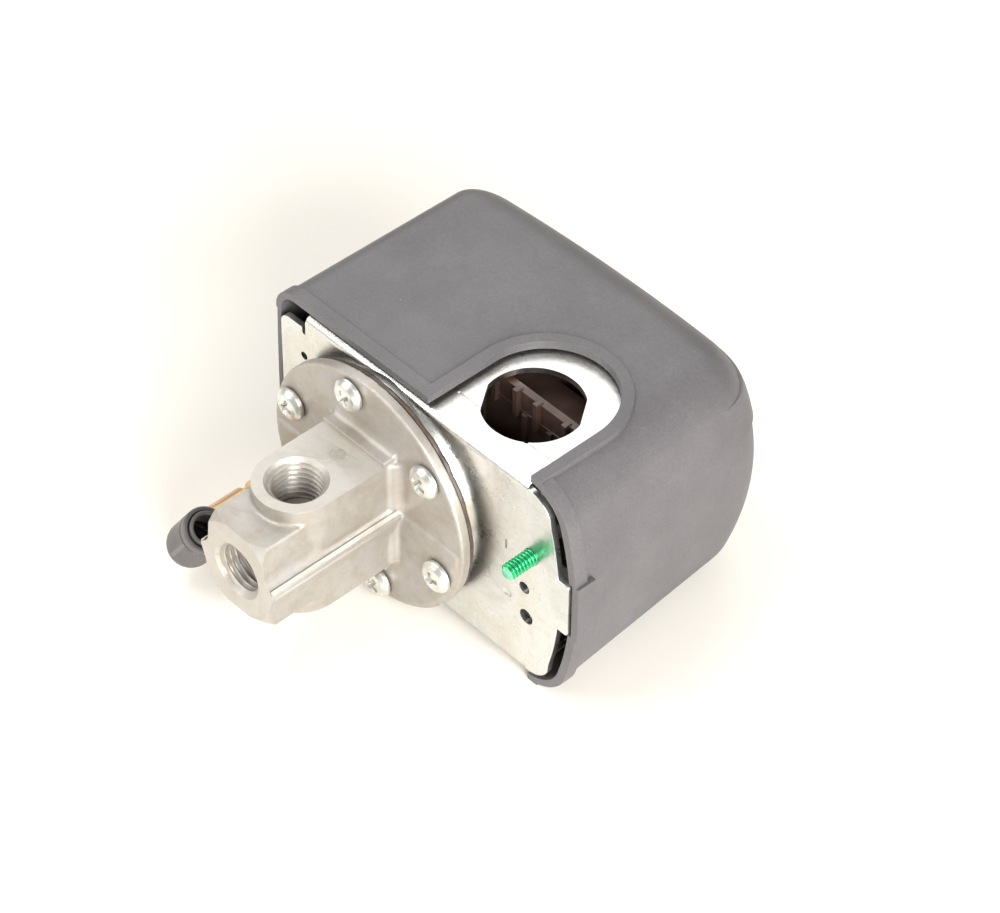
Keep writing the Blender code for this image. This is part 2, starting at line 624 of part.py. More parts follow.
def cutout_lips():
    """A low raised lip round each cut-out."""
    lips = []
    for side, name in ((1, "upper"), (-1, "lower")):
        top = COVER_HALF_Z + BEAD_HEIGHT
        root = COVER_HALF_Z - 1.05 * MM
        middle = (0, 0, MID_Z + side * (top + root) / 2)
        lips.append(outline_solid(f"{name}_lip", u_outline(LIP_R, COVER_RIM_Y), middle, (top - root) / 2, ALONG_Z))
    return lips


def nut_well():
    """The wall of the recess that takes the cap nut."""
    return rod("nut_well", NUT_RECESS_R + COVER_WALL, (RANGE_X, COVER_END_Y - NUT_RECESS_DEPTH - COVER_WALL, MID_Z),
               (RANGE_X, COVER_END_Y - 1.2 * MM, MID_Z), sides=40)


def nut_recess():
    return rod("nut_recess", NUT_RECESS_R, (RANGE_X, COVER_END_Y - NUT_RECESS_DEPTH, MID_Z),
               (RANGE_X, COVER_END_Y + 3 * MM, MID_Z), sides=40)


def cover_nut():
    """Hexagonal cap nut sunk in the closed end, on the tip of the range stud."""
    seat = COVER_END_Y - NUT_RECESS_DEPTH + GAP
    nut = rod("cover_nut", 6.6 * MM, (RANGE_X, seat, MID_Z), (RANGE_X, seat + 6.2 * MM, MID_Z), BLACK, parts, 6)
    cut(nut, rod("cover_nut_bore", 3.3 * MM, (RANGE_X, seat - MM, MID_Z), (RANGE_X, seat + 4.4 * MM, MID_Z), sides=20))


# ---------------------------------------------------------------- mechanism

def plunger():
    """Piston between the diaphragm and the lever."""
    foot = DISC_REAR_Y + GAP + DIAPHRAGM_THICK + GAP
    top = LEVER_WEB_Y - GAP
    height = top - foot
    profile = [(0, height), (PLUNGER_STEM_R - 0.6 * MM, height), (PLUNGER_STEM_R, height - 0.6 * MM),
               (PLUNGER_STEM_R, 1.8 * MM), (PLUNGER_HEAD_R, 1.8 * MM), (PLUNGER_HEAD_R, 0), (0, 0)]
    turned("plunger", profile, (DISC_X, foot, MID_Z), WHITE, parts, 32)


def pressure_lever():
    """Channel-shaped lever: web over the plunger, two flanges on the pivot pin, a tail over the valve stem."""
    web_far = LEVER_WEB_Y + LEVER_SHEET
    flange_top = PIVOT_Y + 4.0 * MM
    low, high = MID_Z - LEVER_HALF_Z, MID_Z + LEVER_HALF_Z
    lever = box("pressure_lever", (LEVER_X[0], LEVER_WEB_Y, low + 0.15 * MM), (LEVER_X[1], web_far, high - 0.15 * MM),
                ZINC, parts)
    flange_end = 10.0 * MM
    sides = [
        box("lever_flange_low", (PIVOT_X - 4 * MM, LEVER_WEB_Y + 0.2 * MM, low), (flange_end, flange_top, low + LEVER_SHEET)),
        box("lever_flange_high", (PIVOT_X - 4 * MM, LEVER_WEB_Y + 0.2 * MM, high - LEVER_SHEET), (flange_end, flange_top, high)),
        box("lever_tail", (LEVER_X[0] + 0.1 * MM, LEVER_WEB_Y + 0.1 * MM, VALVE_Z - 3 * MM),
            (PIVOT_X - 4.2 * MM, web_far - 0.1 * MM, MID_Z - 5 * MM)),
    ]
    join(lever, *sides)
    cut(lever, rod("lever_pin_hole", PIVOT_R + 0.08 * MM, (PIVOT_X, PIVOT_Y, low - MM), (PIVOT_X, PIVOT_Y, high + MM), sides=24))
    for name, x, radius in (("range", RANGE_X, 4.4 * MM), ("diff", DIFF_X, 3.0 * MM)):
        cut(lever, rod(f"lever_{name}_hole", radius, (x, LEVER_WEB_Y - MM, MID_Z), (x, web_far + MM, MID_Z), sides=24))


def pivot_bracket():
    """U bracket riveted to the plate, holding the pivot pin."""
    rear = PLATE_FRONT_Y + SHEET + GAP
    outer = LEVER_HALF_Z + GAP + 1.8 * MM
    half_x = 3.5 * MM
    bracket = box("pivot_bracket", (PIVOT_X - half_x, rear, MID_Z - outer), (PIVOT_X + half_x, rear + 1.5 * MM, MID_Z + outer),
                  ZINC, parts)
    for side, name in ((1, "high"), (-1, "low")):
        inner = MID_Z + side * (LEVER_HALF_Z + GAP)
        outside = MID_Z + side * outer
        outline = [(PIVOT_X - half_x, rear + 0.3 * MM), (PIVOT_X + half_x, rear + 0.3 * MM)]
        outline += arc((PIVOT_X, PIVOT_Y), half_x, 0, 180, 12)
        join(bracket, outline_solid(f"bracket_ear_{name}", outline, (0, 0, (inner + outside) / 2), 0.9 * MM, ALONG_Z))
    cut(bracket, rod("bracket_pin_hole", PIVOT_R + 0.08 * MM, (PIVOT_X, PIVOT_Y, MID_Z - 20 * MM),
                     (PIVOT_X, PIVOT_Y, MID_Z + 20 * MM), sides=24))
    reach = LEVER_HALF_Z + 4.5 * MM
    rod("pivot_pin", PIVOT_R, (PIVOT_X, PIVOT_Y, MID_Z - reach), (PIVOT_X, PIVOT_Y, MID_Z + reach), SPRING, parts, 24)


def stud(name, x, radius, collar_r, low, top):
    """A stud riveted through the plate's emboss, with a collar behind it."""
    sheet_rear = PLATE_FRONT_Y - EMBOSS_RISE + SHEET
    profile = [(0, top - low), (radius - 0.5 * MM, top - low), (radius, top - low - 0.5 * MM),
               (radius, sheet_rear + GAP + 1.6 * MM - low), (collar_r, sheet_rear + GAP + 1.6 * MM - low),
               (collar_r, sheet_rear + GAP - low), (radius * 0.78, sheet_rear + GAP - low), (radius * 0.78, 0), (0, 0)]
    turned(name, profile, (x, low, MID_Z), ZINC, parts, 24)


def helix(x, low, high, radius, turns, per_turn):
    """Points along a compression spring whose end turns lie flat."""
    points = []
    count = turns * per_turn
    for step in range(count + 1):
        share = step / count
        eased = share * share * (3 - 2 * share) * 0.35 + share * 0.65
        turn = 2 * math.pi * turns * share
        points.append((x + radius * math.cos(turn), low + (high - low) * eased, MID_Z + radius * math.sin(turn)))
    return points


def adjuster(name, x, stud_r, cap_y, coil_r, wire_r, turns, cap_r, nut_r, stud_top):
    """A spring set: stud, coil, retaining cap and adjusting nut."""
    stud_low = PLATE_FRONT_Y - EMBOSS_RISE + 0.2 * MM
    stud(f"{name}_stud", x, stud_r, stud_r + 1.6 * MM, stud_low, stud_top)
    low = LEVER_WEB_Y + LEVER_SHEET + GAP + wire_r
    high = cap_y - GAP - wire_r
    wire(f"{name}_spring", helix(x, low, high, coil_r, turns, 14), wire_r, SPRING, 1)
    bore = stud_r + 0.3 * MM
    cap_height = 2.6 * MM
    cap = rod(f"{name}_cap", cap_r, (x, cap_y, MID_Z), (x, cap_y + cap_height, MID_Z), ZINC, parts, 32,
              end_radius=cap_r * 0.8)
    cut(cap, rod(f"{name}_cap_bore", bore, (x, cap_y - MM, MID_Z), (x, cap_y + cap_height + MM, MID_Z), sides=24))
    nut_low = cap_y + cap_height + GAP
    nut_height = stud_r * 1.6
    nut = rod(f"{name}_nut", nut_r, (x, nut_low, MID_Z), (x, nut_low + nut_height, MID_Z), BRASS, parts, 6)
    cut(nut, rod(f"{name}_nut_bore", bore, (x, nut_low - MM, MID_Z), (x, nut_low + nut_height + MM, MID_Z), sides=24))


def contact_block():
    """Phenolic block: two rails joined by a bridge, with barriers between the terminals."""
    name_block = "contact_block"
    rails = []
    for side, name in ((1, "upper"), (-1, "lower")):
        near = MID_Z + side * RAIL_Z[0]
        far = MID_Z + side * RAIL_Z[1]
        rails.append(box(name_block if side > 0 else f"rail_{name}", (BLOCK_X[0], BLOCK_Y[0], min(near, far)),
                         (BLOCK_X[1], BLOCK_Y[1], max(near, far)), PHENOLIC if side > 0 else None,
                         parts if side > 0 else cutters))
    block = rails[0]
    join(block, rails[1], box("bridge", (BRIDGE_X, BLOCK_Y[0], MID_Z - RAIL_Z[0] - MM),
                              (BLOCK_X[1] - 4 * MM, BLOCK_Y[1] - 3 * MM, MID_Z + RAIL_Z[0] + MM)))
    for side in (1, -1):
        for number, x in enumerate((BLOCK_X[0], 6.5 * MM, BLOCK_X[1] - 1.6 * MM)):
            near = MID_Z + side * RAIL_Z[0]
            far = MID_Z + side * RAIL_Z[1]
            join(block, box(f"barrier_{number}_{side}", (x, BLOCK_Y[1] - MM, min(near, far)),
                            (x + 1.6 * MM, BLOCK_Y[1] + 4.5 * MM, max(near, far))))
        for number, x in enumerate((-2.5 * MM, 10.5 * MM, 18.0 * MM, 28.5 * MM)):
            edge = MID_Z + side * RAIL_Z[1]
            join(block, box(f"rib_{number}_{side}", (x, BLOCK_Y[0] - 0.8 * MM, min(edge - side * 11 * MM, edge)),
                            (x + 1.4 * MM, BLOCK_Y[0] + MM, max(edge - side * 11 * MM, edge))))
        join(block, front_wall(side))
        pole = MID_Z + side * POLE_Z
        cut(block, box(f"neck_slot_{side}", (5.8 * MM, BLOCK_Y[1] - 0.2 * MM, pole - 1.6 * MM),
                       (8.8 * MM, BLOCK_Y[1] + 1.7 * MM, pole + 1.6 * MM)))
        cut(block, *[rod(f"terminal_hole_{x_name}_{side}", 1.9 * MM, (x, BLOCK_Y[1] + 6 * MM, MID_Z + side * POLE_Z),
                         (x, BLOCK_Y[1] - 7 * MM, MID_Z + side * POLE_Z), sides=20)
                     for x_name, x in (("near", 1.0 * MM), ("far", 31.0 * MM))])
    cut(block, box("carrier_slot", (CARRIER_X - 3.4 * MM, BLOCK_Y[0] - 2 * MM, MID_Z - 5.4 * MM),
                   (CARRIER_X + 3.4 * MM, BLOCK_Y[1] + 2 * MM, MID_Z + 5.4 * MM)))


def front_wall(side):
    """The ribbed wall that stands in front of the terminals, up to the conduit ear."""
    low, high = sorted((MID_Z + side * (RAIL_Z[1] - 2 * MM), MID_Z + side * FRONT_WALL_Z))
    wall = box(f"front_wall_{side}", (BLOCK_X[0] + MM, BLOCK_Y[0] + 0.2 * MM, low),
               (31.0 * MM, BLOCK_Y[0] + 2.0 * MM, high))
    for number, x in enumerate((1.5 * MM, 8.0 * MM, 14.0 * MM, 22.5 * MM)):
        rib_low, rib_high = sorted((low + side * 0.4 * MM, high + side * 0.4 * MM))
        join(wall, box(f"wall_rib_{number}_{side}", (x, BLOCK_Y[0] - MM, rib_low), (x + 1.3 * MM, BLOCK_Y[0] + MM, rib_high)))
    return wall


def block_brackets():
    """Two stamped feet that carry the contact block on the plate."""
    rear = PLATE_FRONT_Y + SHEET + GAP
    for side, name in ((1, "upper"), (-1, "lower")):
        z = MID_Z + side * (RAIL_Z[1] - 4 * MM)
        x_near, x_far = 32.4 * MM, 34.0 * MM
        bracket = box(f"block_bracket_{name}", (x_near, rear, z - 3.5 * MM), (x_far, BLOCK_Y[0] - GAP, z + 3.5 * MM), ZINC, parts)
        foot = box(f"bracket_foot_{name}", (26.0 * MM, rear, z - 3.5 * MM), (x_far, rear + 1.6 * MM, z + 3.5 * MM))
        shelf = box(f"bracket_shelf_{name}", (25.0 * MM, BLOCK_Y[0] - 2.2 * MM - GAP, z - 3.5 * MM),
                    (x_far, BLOCK_Y[0] - GAP - 0.8 * MM, z + 3.5 * MM))
        join(bracket, foot, shelf)


def contacts():
    """Terminal strips with their screws, the two bridging bars, their springs and the carrier."""
    strip_y = BLOCK_Y[1] + GAP
    thick = 1.0 * MM
    number = 0
    for side, name in ((1, "upper"), (-1, "lower")):
        z = MID_Z + side * POLE_Z
        for low_x, high_x, screw_x, pad_x in ((-4.5 * MM, 6.2 * MM, 1.0 * MM, None), (26.0 * MM, 34.0 * MM, 31.0 * MM, None)):
            number += 1
            low_end, high_end = (low_x, 17.0 * MM) if screw_x < CARRIER_X / 2 else (25.0 * MM, high_x)
            strip = box(f"terminal_strip_{number}", (low_end, strip_y, z - 2.6 * MM), (high_end, strip_y + thick, z + 2.6 * MM),
                        BRASS, parts)
            cut(strip, rod(f"strip_hole_{number}", 1.9 * MM, (screw_x, strip_y - MM, z), (screw_x, strip_y + 2 * MM, z), sides=20))
            if screw_x < CARRIER_X / 2:
                notch = box(f"strip_notch_{number}", (6.2 * MM, strip_y - MM, z - 3 * MM), (8.4 * MM, strip_y + 2 * MM, z + 3 * MM))
                bridge = box(f"strip_neck_{number}", (6.0 * MM, strip_y, z - 1.2 * MM), (8.6 * MM, strip_y + thick, z + 1.2 * MM))
                cut(strip, notch)
                join(strip, bridge)
            pan_screw(f"terminal_screw_{number}", screw_x, strip_y + thick + GAP, z, 2.9 * MM, 1.9 * MM, 1.5 * MM, 6.5 * MM,
                      BRASS, 0.4 * number, points=1)
        bar_y = strip_y + thick + GAP
        box(f"contact_bar_{name}", (14.0 * MM, bar_y, z - 2.2 * MM), (27.7 * MM, bar_y + 0.8 * MM, z + 2.2 * MM), BRASS, parts)
        low = bar_y + 0.8 * MM + GAP + 0.3 * MM
        wire(f"contact_spring_{name}", [(px - RANGE_X + CARRIER_X, py, pz - MID_Z + z)
                                        for px, py, pz in helix(RANGE_X, low, low + 4.2 * MM, 1.6 * MM, 4, 10)], 0.3 * MM, SPRING, 1)
    carrier(strip_y + thick + GAP + 0.8 * MM)


def carrier(bar_top):
    """White slide: a stem on the lever's tip and a cross-beam over both bars."""
    beam_low = bar_top + 5.6 * MM
    foot = LEVER_WEB_Y + LEVER_SHEET + GAP
    beam = box("contact_carrier", (CARRIER_X - 3.0 * MM, beam_low, MID_Z - POLE_Z - 3 * MM),
               (CARRIER_X + 3.0 * MM, beam_low + 3.4 * MM, MID_Z + POLE_Z + 3 * MM), WHITE, parts)
    stem = box("carrier_stem", (CARRIER_X - 2.9 * MM, foot, MID_Z - 4.9 * MM), (CARRIER_X + 2.9 * MM, beam_low + MM, MID_Z + 4.9 * MM))
    join(beam, stem)


# ---------------------------------------------------------------- earth screw, release valve and elbow

def ground_screw():
    pan_screw("ground_screw", 33.8 * MM, PLATE_FRONT_Y + SHEET + GAP, 38.5 * MM, 3.8 * MM, 2.4 * MM, 1.95 * MM,
              SHEET + GAP + 7.2 * MM, GREEN, 0.3, points=1)


def release_valve():
    """Brass body on the plate, its nut behind, and the stem under the lever's tail."""
    back = PLATE_FRONT_Y - GAP
    length = back - VALVE_FRONT_Y
    neck = 3.0 * MM
    thread = SHEET + 2 * GAP + 4.6 * MM
    profile = [(0, length + thread), (neck - 0.3 * MM, length + thread), (neck, length + thread - 0.4 * MM), (neck, length),
               (VALVE_R, length), (VALVE_R, length * 0.62), (VALVE_R - 0.5 * MM, length * 0.62 - 0.5 * MM),
               (VALVE_R - 0.5 * MM, length * 0.56), (VALVE_R, length * 0.56 - 0.5 * MM), (VALVE_R, 0), (0, 0)]
    body = turned("valve_body", profile, (VALVE_X, VALVE_FRONT_Y, VALVE_Z), BRASS, parts, 32)
    cut(body, rod("valve_bore", 1.4 * MM, (VALVE_X, VALVE_FRONT_Y - MM, VALVE_Z), (VALVE_X, back + thread + MM, VALVE_Z), sides=16))
    nut_y = PLATE_FRONT_Y + SHEET + GAP
    nut = rod("valve_nut", 5.2 * MM, (VALVE_X, nut_y, VALVE_Z), (VALVE_X, nut_y + 3 * MM, VALVE_Z), BRASS, parts, 6)
    cut(nut, rod("valve_nut_bore", neck + 0.3 * MM, (VALVE_X, nut_y - MM, VALVE_Z), (VALVE_X, nut_y + 4 * MM, VALVE_Z), sides=20))
    rod("valve_stem", 1.1 * MM, (VALVE_X, VALVE_FRONT_Y + 2 * MM, VALVE_Z), (VALVE_X, LEVER_WEB_Y - GAP, VALVE_Z), SPRING, parts, 16)


def elbow_direction():
    return Vector((math.cos(ELBOW_TURN), 0.0, math.sin(ELBOW_TURN)))


def elbow():
    """Push-in elbow: a leg on the valve, a round knuckle and a socket with its release ring and seal."""
    knuckle = Vector((VALVE_X, ELBOW_Y, VALVE_Z))
    out = elbow_direction()
    work = bmesh.new()
    bmesh.ops.create_uvsphere(work, u_segments=32, v_segments=16, radius=ELBOW_R)
    mesh = bpy.data.meshes.new("elbow_body")
    work.to_mesh(mesh)
    work.free()
    mesh.shade_smooth()
    body = add("elbow_body", mesh, BLACK)
    body.location = knuckle
    leg = rod("elbow_leg", ELBOW_R - 0.02 * MM, knuckle, (VALVE_X, VALVE_FRONT_Y - GAP, VALVE_Z))
    socket = rod("elbow_socket", ELBOW_R - 0.02 * MM, knuckle, knuckle + out * ELBOW_REACH)
    join(body, leg, socket)
    depth = 8.6 * MM
    cut(body, rod("socket_bore", 4.1 * MM, knuckle + out * (ELBOW_REACH - depth), knuckle + out * (ELBOW_REACH + MM)))
    cut(body, rod("elbow_passage", 1.6 * MM, knuckle, knuckle + out * ELBOW_REACH, sides=16),
        rod("elbow_leg_passage", 1.6 * MM, knuckle, (VALVE_X, VALVE_FRONT_Y + MM, VALVE_Z), sides=16))
    seal_ring(knuckle + out * (ELBOW_REACH - depth + 1.3 * MM), out)
    release_collet(knuckle, out)


def seal_ring(place, out):
    """Rubber ring at the bottom of the socket."""
    bpy.ops.mesh.primitive_torus_add(major_segments=28, minor_segments=10, major_radius=3.35 * MM, minor_radius=0.62 * MM)
    ring = bpy.context.object
    ring.name = "tube_seal"
    ring.data.name = "tube_seal"
    for home in list(ring.users_collection):
        home.objects.unlink(ring)
    parts.objects.link(ring)
    ring.location = place
    ring.rotation_mode = "QUATERNION"
    ring.rotation_quaternion = out.to_track_quat("Z", "Y")
    ring.data.materials.append(RUBBER)
    ring.data.shade_smooth()


def release_collet(knuckle, out):
    """Ring that is pressed in to let the tube go."""
    low = ELBOW_REACH - 4.2 * MM
    high = ELBOW_REACH + 0.9 * MM
    collet = rod("release_collet", 3.8 * MM, knuckle + out * low, knuckle + out * high, GREY, parts, 36)
    cut(collet, rod("collet_bore", TUBE_R, knuckle + out * (low - MM), knuckle + out * (high + MM), sides=28))


manifold()
flange_screws()
diaphragm()
base_plate()
cover()
cover_nut()
plunger()
pressure_lever()
pivot_bracket()
adjuster("range", RANGE_X, 3.0 * MM, RANGE_CAP_Y, 6.2 * MM, 0.85 * MM, 8, 7.4 * MM, 5.2 * MM,
         COVER_END_Y - NUT_RECESS_DEPTH + 4.2 * MM)
adjuster("diff", DIFF_X, 2.0 * MM, DIFF_CAP_Y, 3.6 * MM, 0.5 * MM, 7, 4.5 * MM, 3.8 * MM, 24.0 * MM)
contact_block()
block_brackets()
contacts()
ground_screw()
release_valve()
elbow()
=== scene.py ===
"""The pressure switch as it looks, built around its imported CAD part. Everything is in metres in the part's frame."""

import json
import math

import bmesh
import bpy
from mathutils import Matrix, Vector, noise


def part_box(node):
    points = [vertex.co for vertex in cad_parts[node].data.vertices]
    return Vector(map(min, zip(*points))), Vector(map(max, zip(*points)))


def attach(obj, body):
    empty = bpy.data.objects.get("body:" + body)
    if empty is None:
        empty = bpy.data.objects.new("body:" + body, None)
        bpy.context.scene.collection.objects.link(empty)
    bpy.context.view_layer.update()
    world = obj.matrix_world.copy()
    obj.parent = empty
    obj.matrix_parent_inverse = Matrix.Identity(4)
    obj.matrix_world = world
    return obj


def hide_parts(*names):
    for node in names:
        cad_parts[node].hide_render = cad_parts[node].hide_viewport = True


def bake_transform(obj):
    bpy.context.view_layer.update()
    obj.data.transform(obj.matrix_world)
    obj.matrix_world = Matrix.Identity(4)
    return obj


MM = 0.001
X, Y, Z = Vector((1, 0, 0)), Vector((0, 1, 0)), Vector((0, 0, 1))

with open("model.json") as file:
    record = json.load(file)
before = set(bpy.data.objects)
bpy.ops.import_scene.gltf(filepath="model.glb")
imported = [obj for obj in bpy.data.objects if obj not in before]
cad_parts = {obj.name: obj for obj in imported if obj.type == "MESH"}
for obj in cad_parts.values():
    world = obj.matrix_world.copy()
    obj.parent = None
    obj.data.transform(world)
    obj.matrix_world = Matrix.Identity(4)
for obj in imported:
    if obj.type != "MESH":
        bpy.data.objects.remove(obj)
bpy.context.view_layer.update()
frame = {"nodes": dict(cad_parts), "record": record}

# ---- camera, matched to the photograph's angle

AZIMUTH, ELEVATION, ROLL = math.radians(46.57), math.radians(44.56), math.radians(0.55)
AIM = Vector((16.7, -4.6, 50.2)) * MM
CAMERA_DISTANCE = 829 * MM
LENS_MM = 144.9

camera_data = bpy.data.cameras.new("camera")
camera_data.lens = LENS_MM
camera_data.sensor_width = 36
camera_data.clip_start = 0.05
camera = bpy.data.objects.new("camera", camera_data)
bpy.context.scene.collection.objects.link(camera)
across = Vector((math.cos(AZIMUTH), math.sin(AZIMUTH), 0))
away = across.cross(Z) * math.cos(ELEVATION) + Z * math.sin(ELEVATION)
upward = away.cross(across)
rolled_across = across * math.cos(ROLL) + upward * math.sin(ROLL)
rolled_up = upward * math.cos(ROLL) - across * math.sin(ROLL)
turn = Matrix((rolled_across, rolled_up, away)).transposed().to_4x4()
camera.matrix_world = Matrix.Translation(AIM + away * CAMERA_DISTANCE) @ turn
bpy.context.scene.camera = camera

# ---- sizes read from the frame


def extent(node):
    """A CAD node's box as two vectors."""
    low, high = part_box(node)
    return Vector(low), Vector(high)


def middle(node):
    low, high = extent(node)
    return (low + high) / 2


def front_end(node):
    """The middle of a CAD node's end towards -Y."""
    return Vector((middle(node).x, extent(node)[0].y, middle(node).z))


def mm(*values):
    """Lengths or points given in millimetres, in metres."""
    return [tuple(mm(*value)) if isinstance(value, tuple) else value * MM for value in values]


cover_low, cover_high = extent("cover")
plate_low, plate_high = extent("base_plate")
casting_low, casting_high = extent("manifold")
disc_low, disc_high = extent("diaphragm")
valve_low, valve_high = extent("valve_body")

MID_Z = (cover_low.z + cover_high.z) / 2
DISC_X = (casting_low.x + casting_high.x) / 2
DISC_R = (casting_high.x - casting_low.x) / 2
DISC_REAR_Y = casting_high.y
BLOCK_END_Y = casting_low.y
RANGE_X = 4 * MM                        # the range stud, which also holds the cover
DIFF_X = -22.5 * MM

# cover
BEAD_PROUD = 0.5 * MM
RIM_Y = cover_low.y
END_Y = cover_high.y
COVER_HALF_X = (cover_high.x - cover_low.x) / 2 - BEAD_PROUD
COVER_HALF_Z = (cover_high.z - cover_low.z) / 2 - BEAD_PROUD
COVER_WALL = 1.2 * MM
COVER_DRAFT_X = mm(3.8, 0.4)    # how far the right and left sides lean in over the depth
COVER_DRAFT_Z = 0.5 * MM
COVER_CROWN, COVER_BOW = mm(5.1, 2.2)   # how far the closed end falls back up and down, and sideways
COVER_TOP_EDGE = 9.0 * MM
COVER_SIDE_EDGE = mm(11.9, 7.9)
COVER_RIGHT = mm(5.8, 8.0)      # how far the side bows out, and its corner radius
COVER_LEFT = mm(0.6, 5.5)
BEAD_DEPTH = 3.4 * MM
BARE_LEFT_Z = 23.5 * MM                 # the left side's rim has no bead between these heights
CUT_X, CUT_Y = mm(17.2, 8.0)
CUT_R, LIP_R = mm(15.4, 18.2)
BAND_Z = mm(12.0, 21.2)
BAND_PROUD = 0.6 * MM
BAND_FADE_Y = mm(47, 36)        # where the band starts to sink and where it is gone
POCKET_Z = mm(-8.2, 7.6)
POCKET_DEPTH, POCKET_PROUD = mm(5.0, 0.85)

# plate
SHEET = 1.5 * MM
PLATE_FRONT_Y = -11.7 * MM
PLATE_REAR_Y = PLATE_FRONT_Y + SHEET
SEAT_RISE = 0.1 * MM                    # the coined seat round each conduit hole
PLATE_HALF_Z = (plate_high.z - plate_low.z) / 2 - SEAT_RISE
PLATE_RIGHT_X, PLATE_SIDE_R = mm(42.2, 75)
FLANGE_X = mm(-36.0, 32.3)
EAR_X = mm(-2.0, 32.8)
EAR_REAR_Y = 25 * MM
LEFT_EAR_DROP = 3.6 * MM
CONDUIT = mm(16.0, 5.5)
CONDUIT_R, CONDUIT_FLAT = mm(11.2, 10.5)
TAB_X, TAB_HALF_Z = mm(38, 44.9), 7.3 * MM
EMBOSS_FRONT_Y = plate_low.y
EMBOSS_R = 27.2 * MM
SCREW_HOLE_R = 2.3 * MM
SHEET_EDGE = 0.16 * MM

# casting
PORT_Y = -36.8 * MM
PAD_HALF_Z, PAD_HALF_X = mm(15.0, 9.5)
BODY_HALF_Z, BODY_HALF_X = mm(11.2, 8.2)
PART_HALF_X = 11.3 * MM
DISC_THICK, DISC_CHAMFER = mm(2.6, 0.35)
DISC_FRONT_Y = DISC_REAR_Y - DISC_THICK
PLATEAU_RISE = 0.6 * MM
PIPE_PITCH = 1.411 * MM
VOXEL = 0.34 * MM

# elbow
ELBOW_TURN = math.radians(56)
ELBOW_R = 5.3 * MM
ELBOW_REACH = 10.5 * MM
ELBOW_Y = -43.8 * MM


# ---- mesh makers

def circle(steps):
    """Evenly spaced angles round a circle."""
    return [2 * math.pi * step / steps for step in range(steps)]


def arc(centre, radius, start, end, steps):
    """Points on an arc, angles in degrees."""
    angles = [math.radians(start + (end - start) * step / steps) for step in range(steps + 1)]
    return [(centre[0] + radius * math.cos(a), centre[1] + radius * math.sin(a)) for a in angles]


def between(first, last, steps):
    """Evenly spaced points between two, leaving both out."""
    return [(first[0] + (last[0] - first[0]) * step / steps, first[1] + (last[1] - first[1]) * step / steps)
            for step in range(1, steps)]


def basis(at, along):
    """A matrix whose Z runs along a direction from a point."""
    along = Vector(along).normalized()
    side = X if abs(along.x) < 0.9 else Y
    first = (side - along * side.dot(along)).normalized()
    second = along.cross(first)
    return Matrix.Translation(at) @ Matrix((first, second, along)).transposed().to_4x4()


def skinned(rings, looped=False):
    """A closed mesh over rings of points. A ring of one point is a tip; looped joins the last ring to the first."""
    work = bmesh.new()
    sides = max(len(ring) for ring in rings)
    rows = [[work.verts.new(point) for point in ring] * (sides if len(ring) == 1 else 1) for ring in rings]
    if looped:
        rows.append(rows[0])
    for near, far in zip(rows, rows[1:]):
        for index in range(sides):
            after = (index + 1) % sides
            corners = list(dict.fromkeys((near[index], near[after], far[after], far[index])))
            if len(corners) > 2:
                work.faces.new(corners)
    for row in () if looped else (rows[0], rows[-1]):
        if row[0] is not row[1]:
            work.faces.new(row)
    bmesh.ops.recalc_face_normals(work, faces=work.faces)
    return work


def turned(profile, at, along, sides=48):
    """A closed solid turned from (radius, height) points; the ends lie on the axis or are capped flat."""
    place = basis(at, along)
    return skinned([[place @ Vector((radius * math.cos(a), radius * math.sin(a), height))
            for a in (circle(sides) if radius > 1e-9 else (0.0,))] for radius, height in profile])


def turned_ring(profile, at, along, sides):
    """A ring turned from a closed loop of (radius, height) points."""
    place = basis(at, along)
    return skinned([[place @ Vector((r * math.cos(a), r * math.sin(a), height)) for r, height in profile]
            for a in circle(sides)], looped=True)


def rod(radius, start, end, sides=48):
    """A plain rod between two points."""
    start, end = Vector(start), Vector(end)
    return turned([(radius, 0), (radius, (end - start).length)], start, end - start, sides)


def threaded(radius, pitch, depth, length, at, along, sides=40, rows=8, taper=0.0):
    """A rod with a helical thread, whose radius grows by the taper over its length."""
    place = basis(at, along)
    count = max(2, round(length / pitch * rows))
    rings = []
    for row in range(count + 1):
        height = length * row / count
        run_out = radius - depth + min(height, length - height) * 0.8
        ring = []
        for angle in circle(sides):
            phase = (height / pitch - angle / (2 * math.pi)) % 1.0
            tooth = min(1.0, max(0.0, abs(2 * phase - 1) * 1.35 - 0.15))
            reach = min(radius - depth * (1 - tooth) + taper * row / count, run_out)
            ring.append(place @ Vector((reach * math.cos(angle), reach * math.sin(angle), height)))
        rings.append(ring)
    return skinned(rings)


def block(low, high):
    """A box as a mesh, for cutting and joining."""
    work = bmesh.new()
    bmesh.ops.create_cube(work, size=1.0)
    low, high = Vector(low), Vector(high)
    bmesh.ops.scale(work, vec=high - low, verts=work.verts)
    bmesh.ops.translate(work, vec=(low + high) / 2, verts=work.verts)
    return work


def moved(work, place):
    bmesh.ops.transform(work, matrix=place, verts=work.verts)
    return work


def extruded(outline, low, high, place):
    """A closed outline given depth from low to high along the place's Z."""
    return skinned([[place @ Vector((a, b, depth)) for a, b in outline] for depth in (low, high)])


IN_XZ = Matrix(((1, 0, 0, 0), (0, 0, 1, 0), (0, 1, 0, 0), (0, 0, 0, 1)))     # outline x, z; depth along Y
IN_XY = Matrix.Identity(4)                                                    # outline x, y; depth along Z
IN_YZ = Matrix(((0, 0, 1, 0), (1, 0, 0, 0), (0, 1, 0, 0), (0, 0, 0, 1)))     # outline y, z; depth along X
IN_YZ_MIDWAY = Matrix.Translation((0, 0, MID_Z)) @ IN_YZ                      # the same, with z about mid height


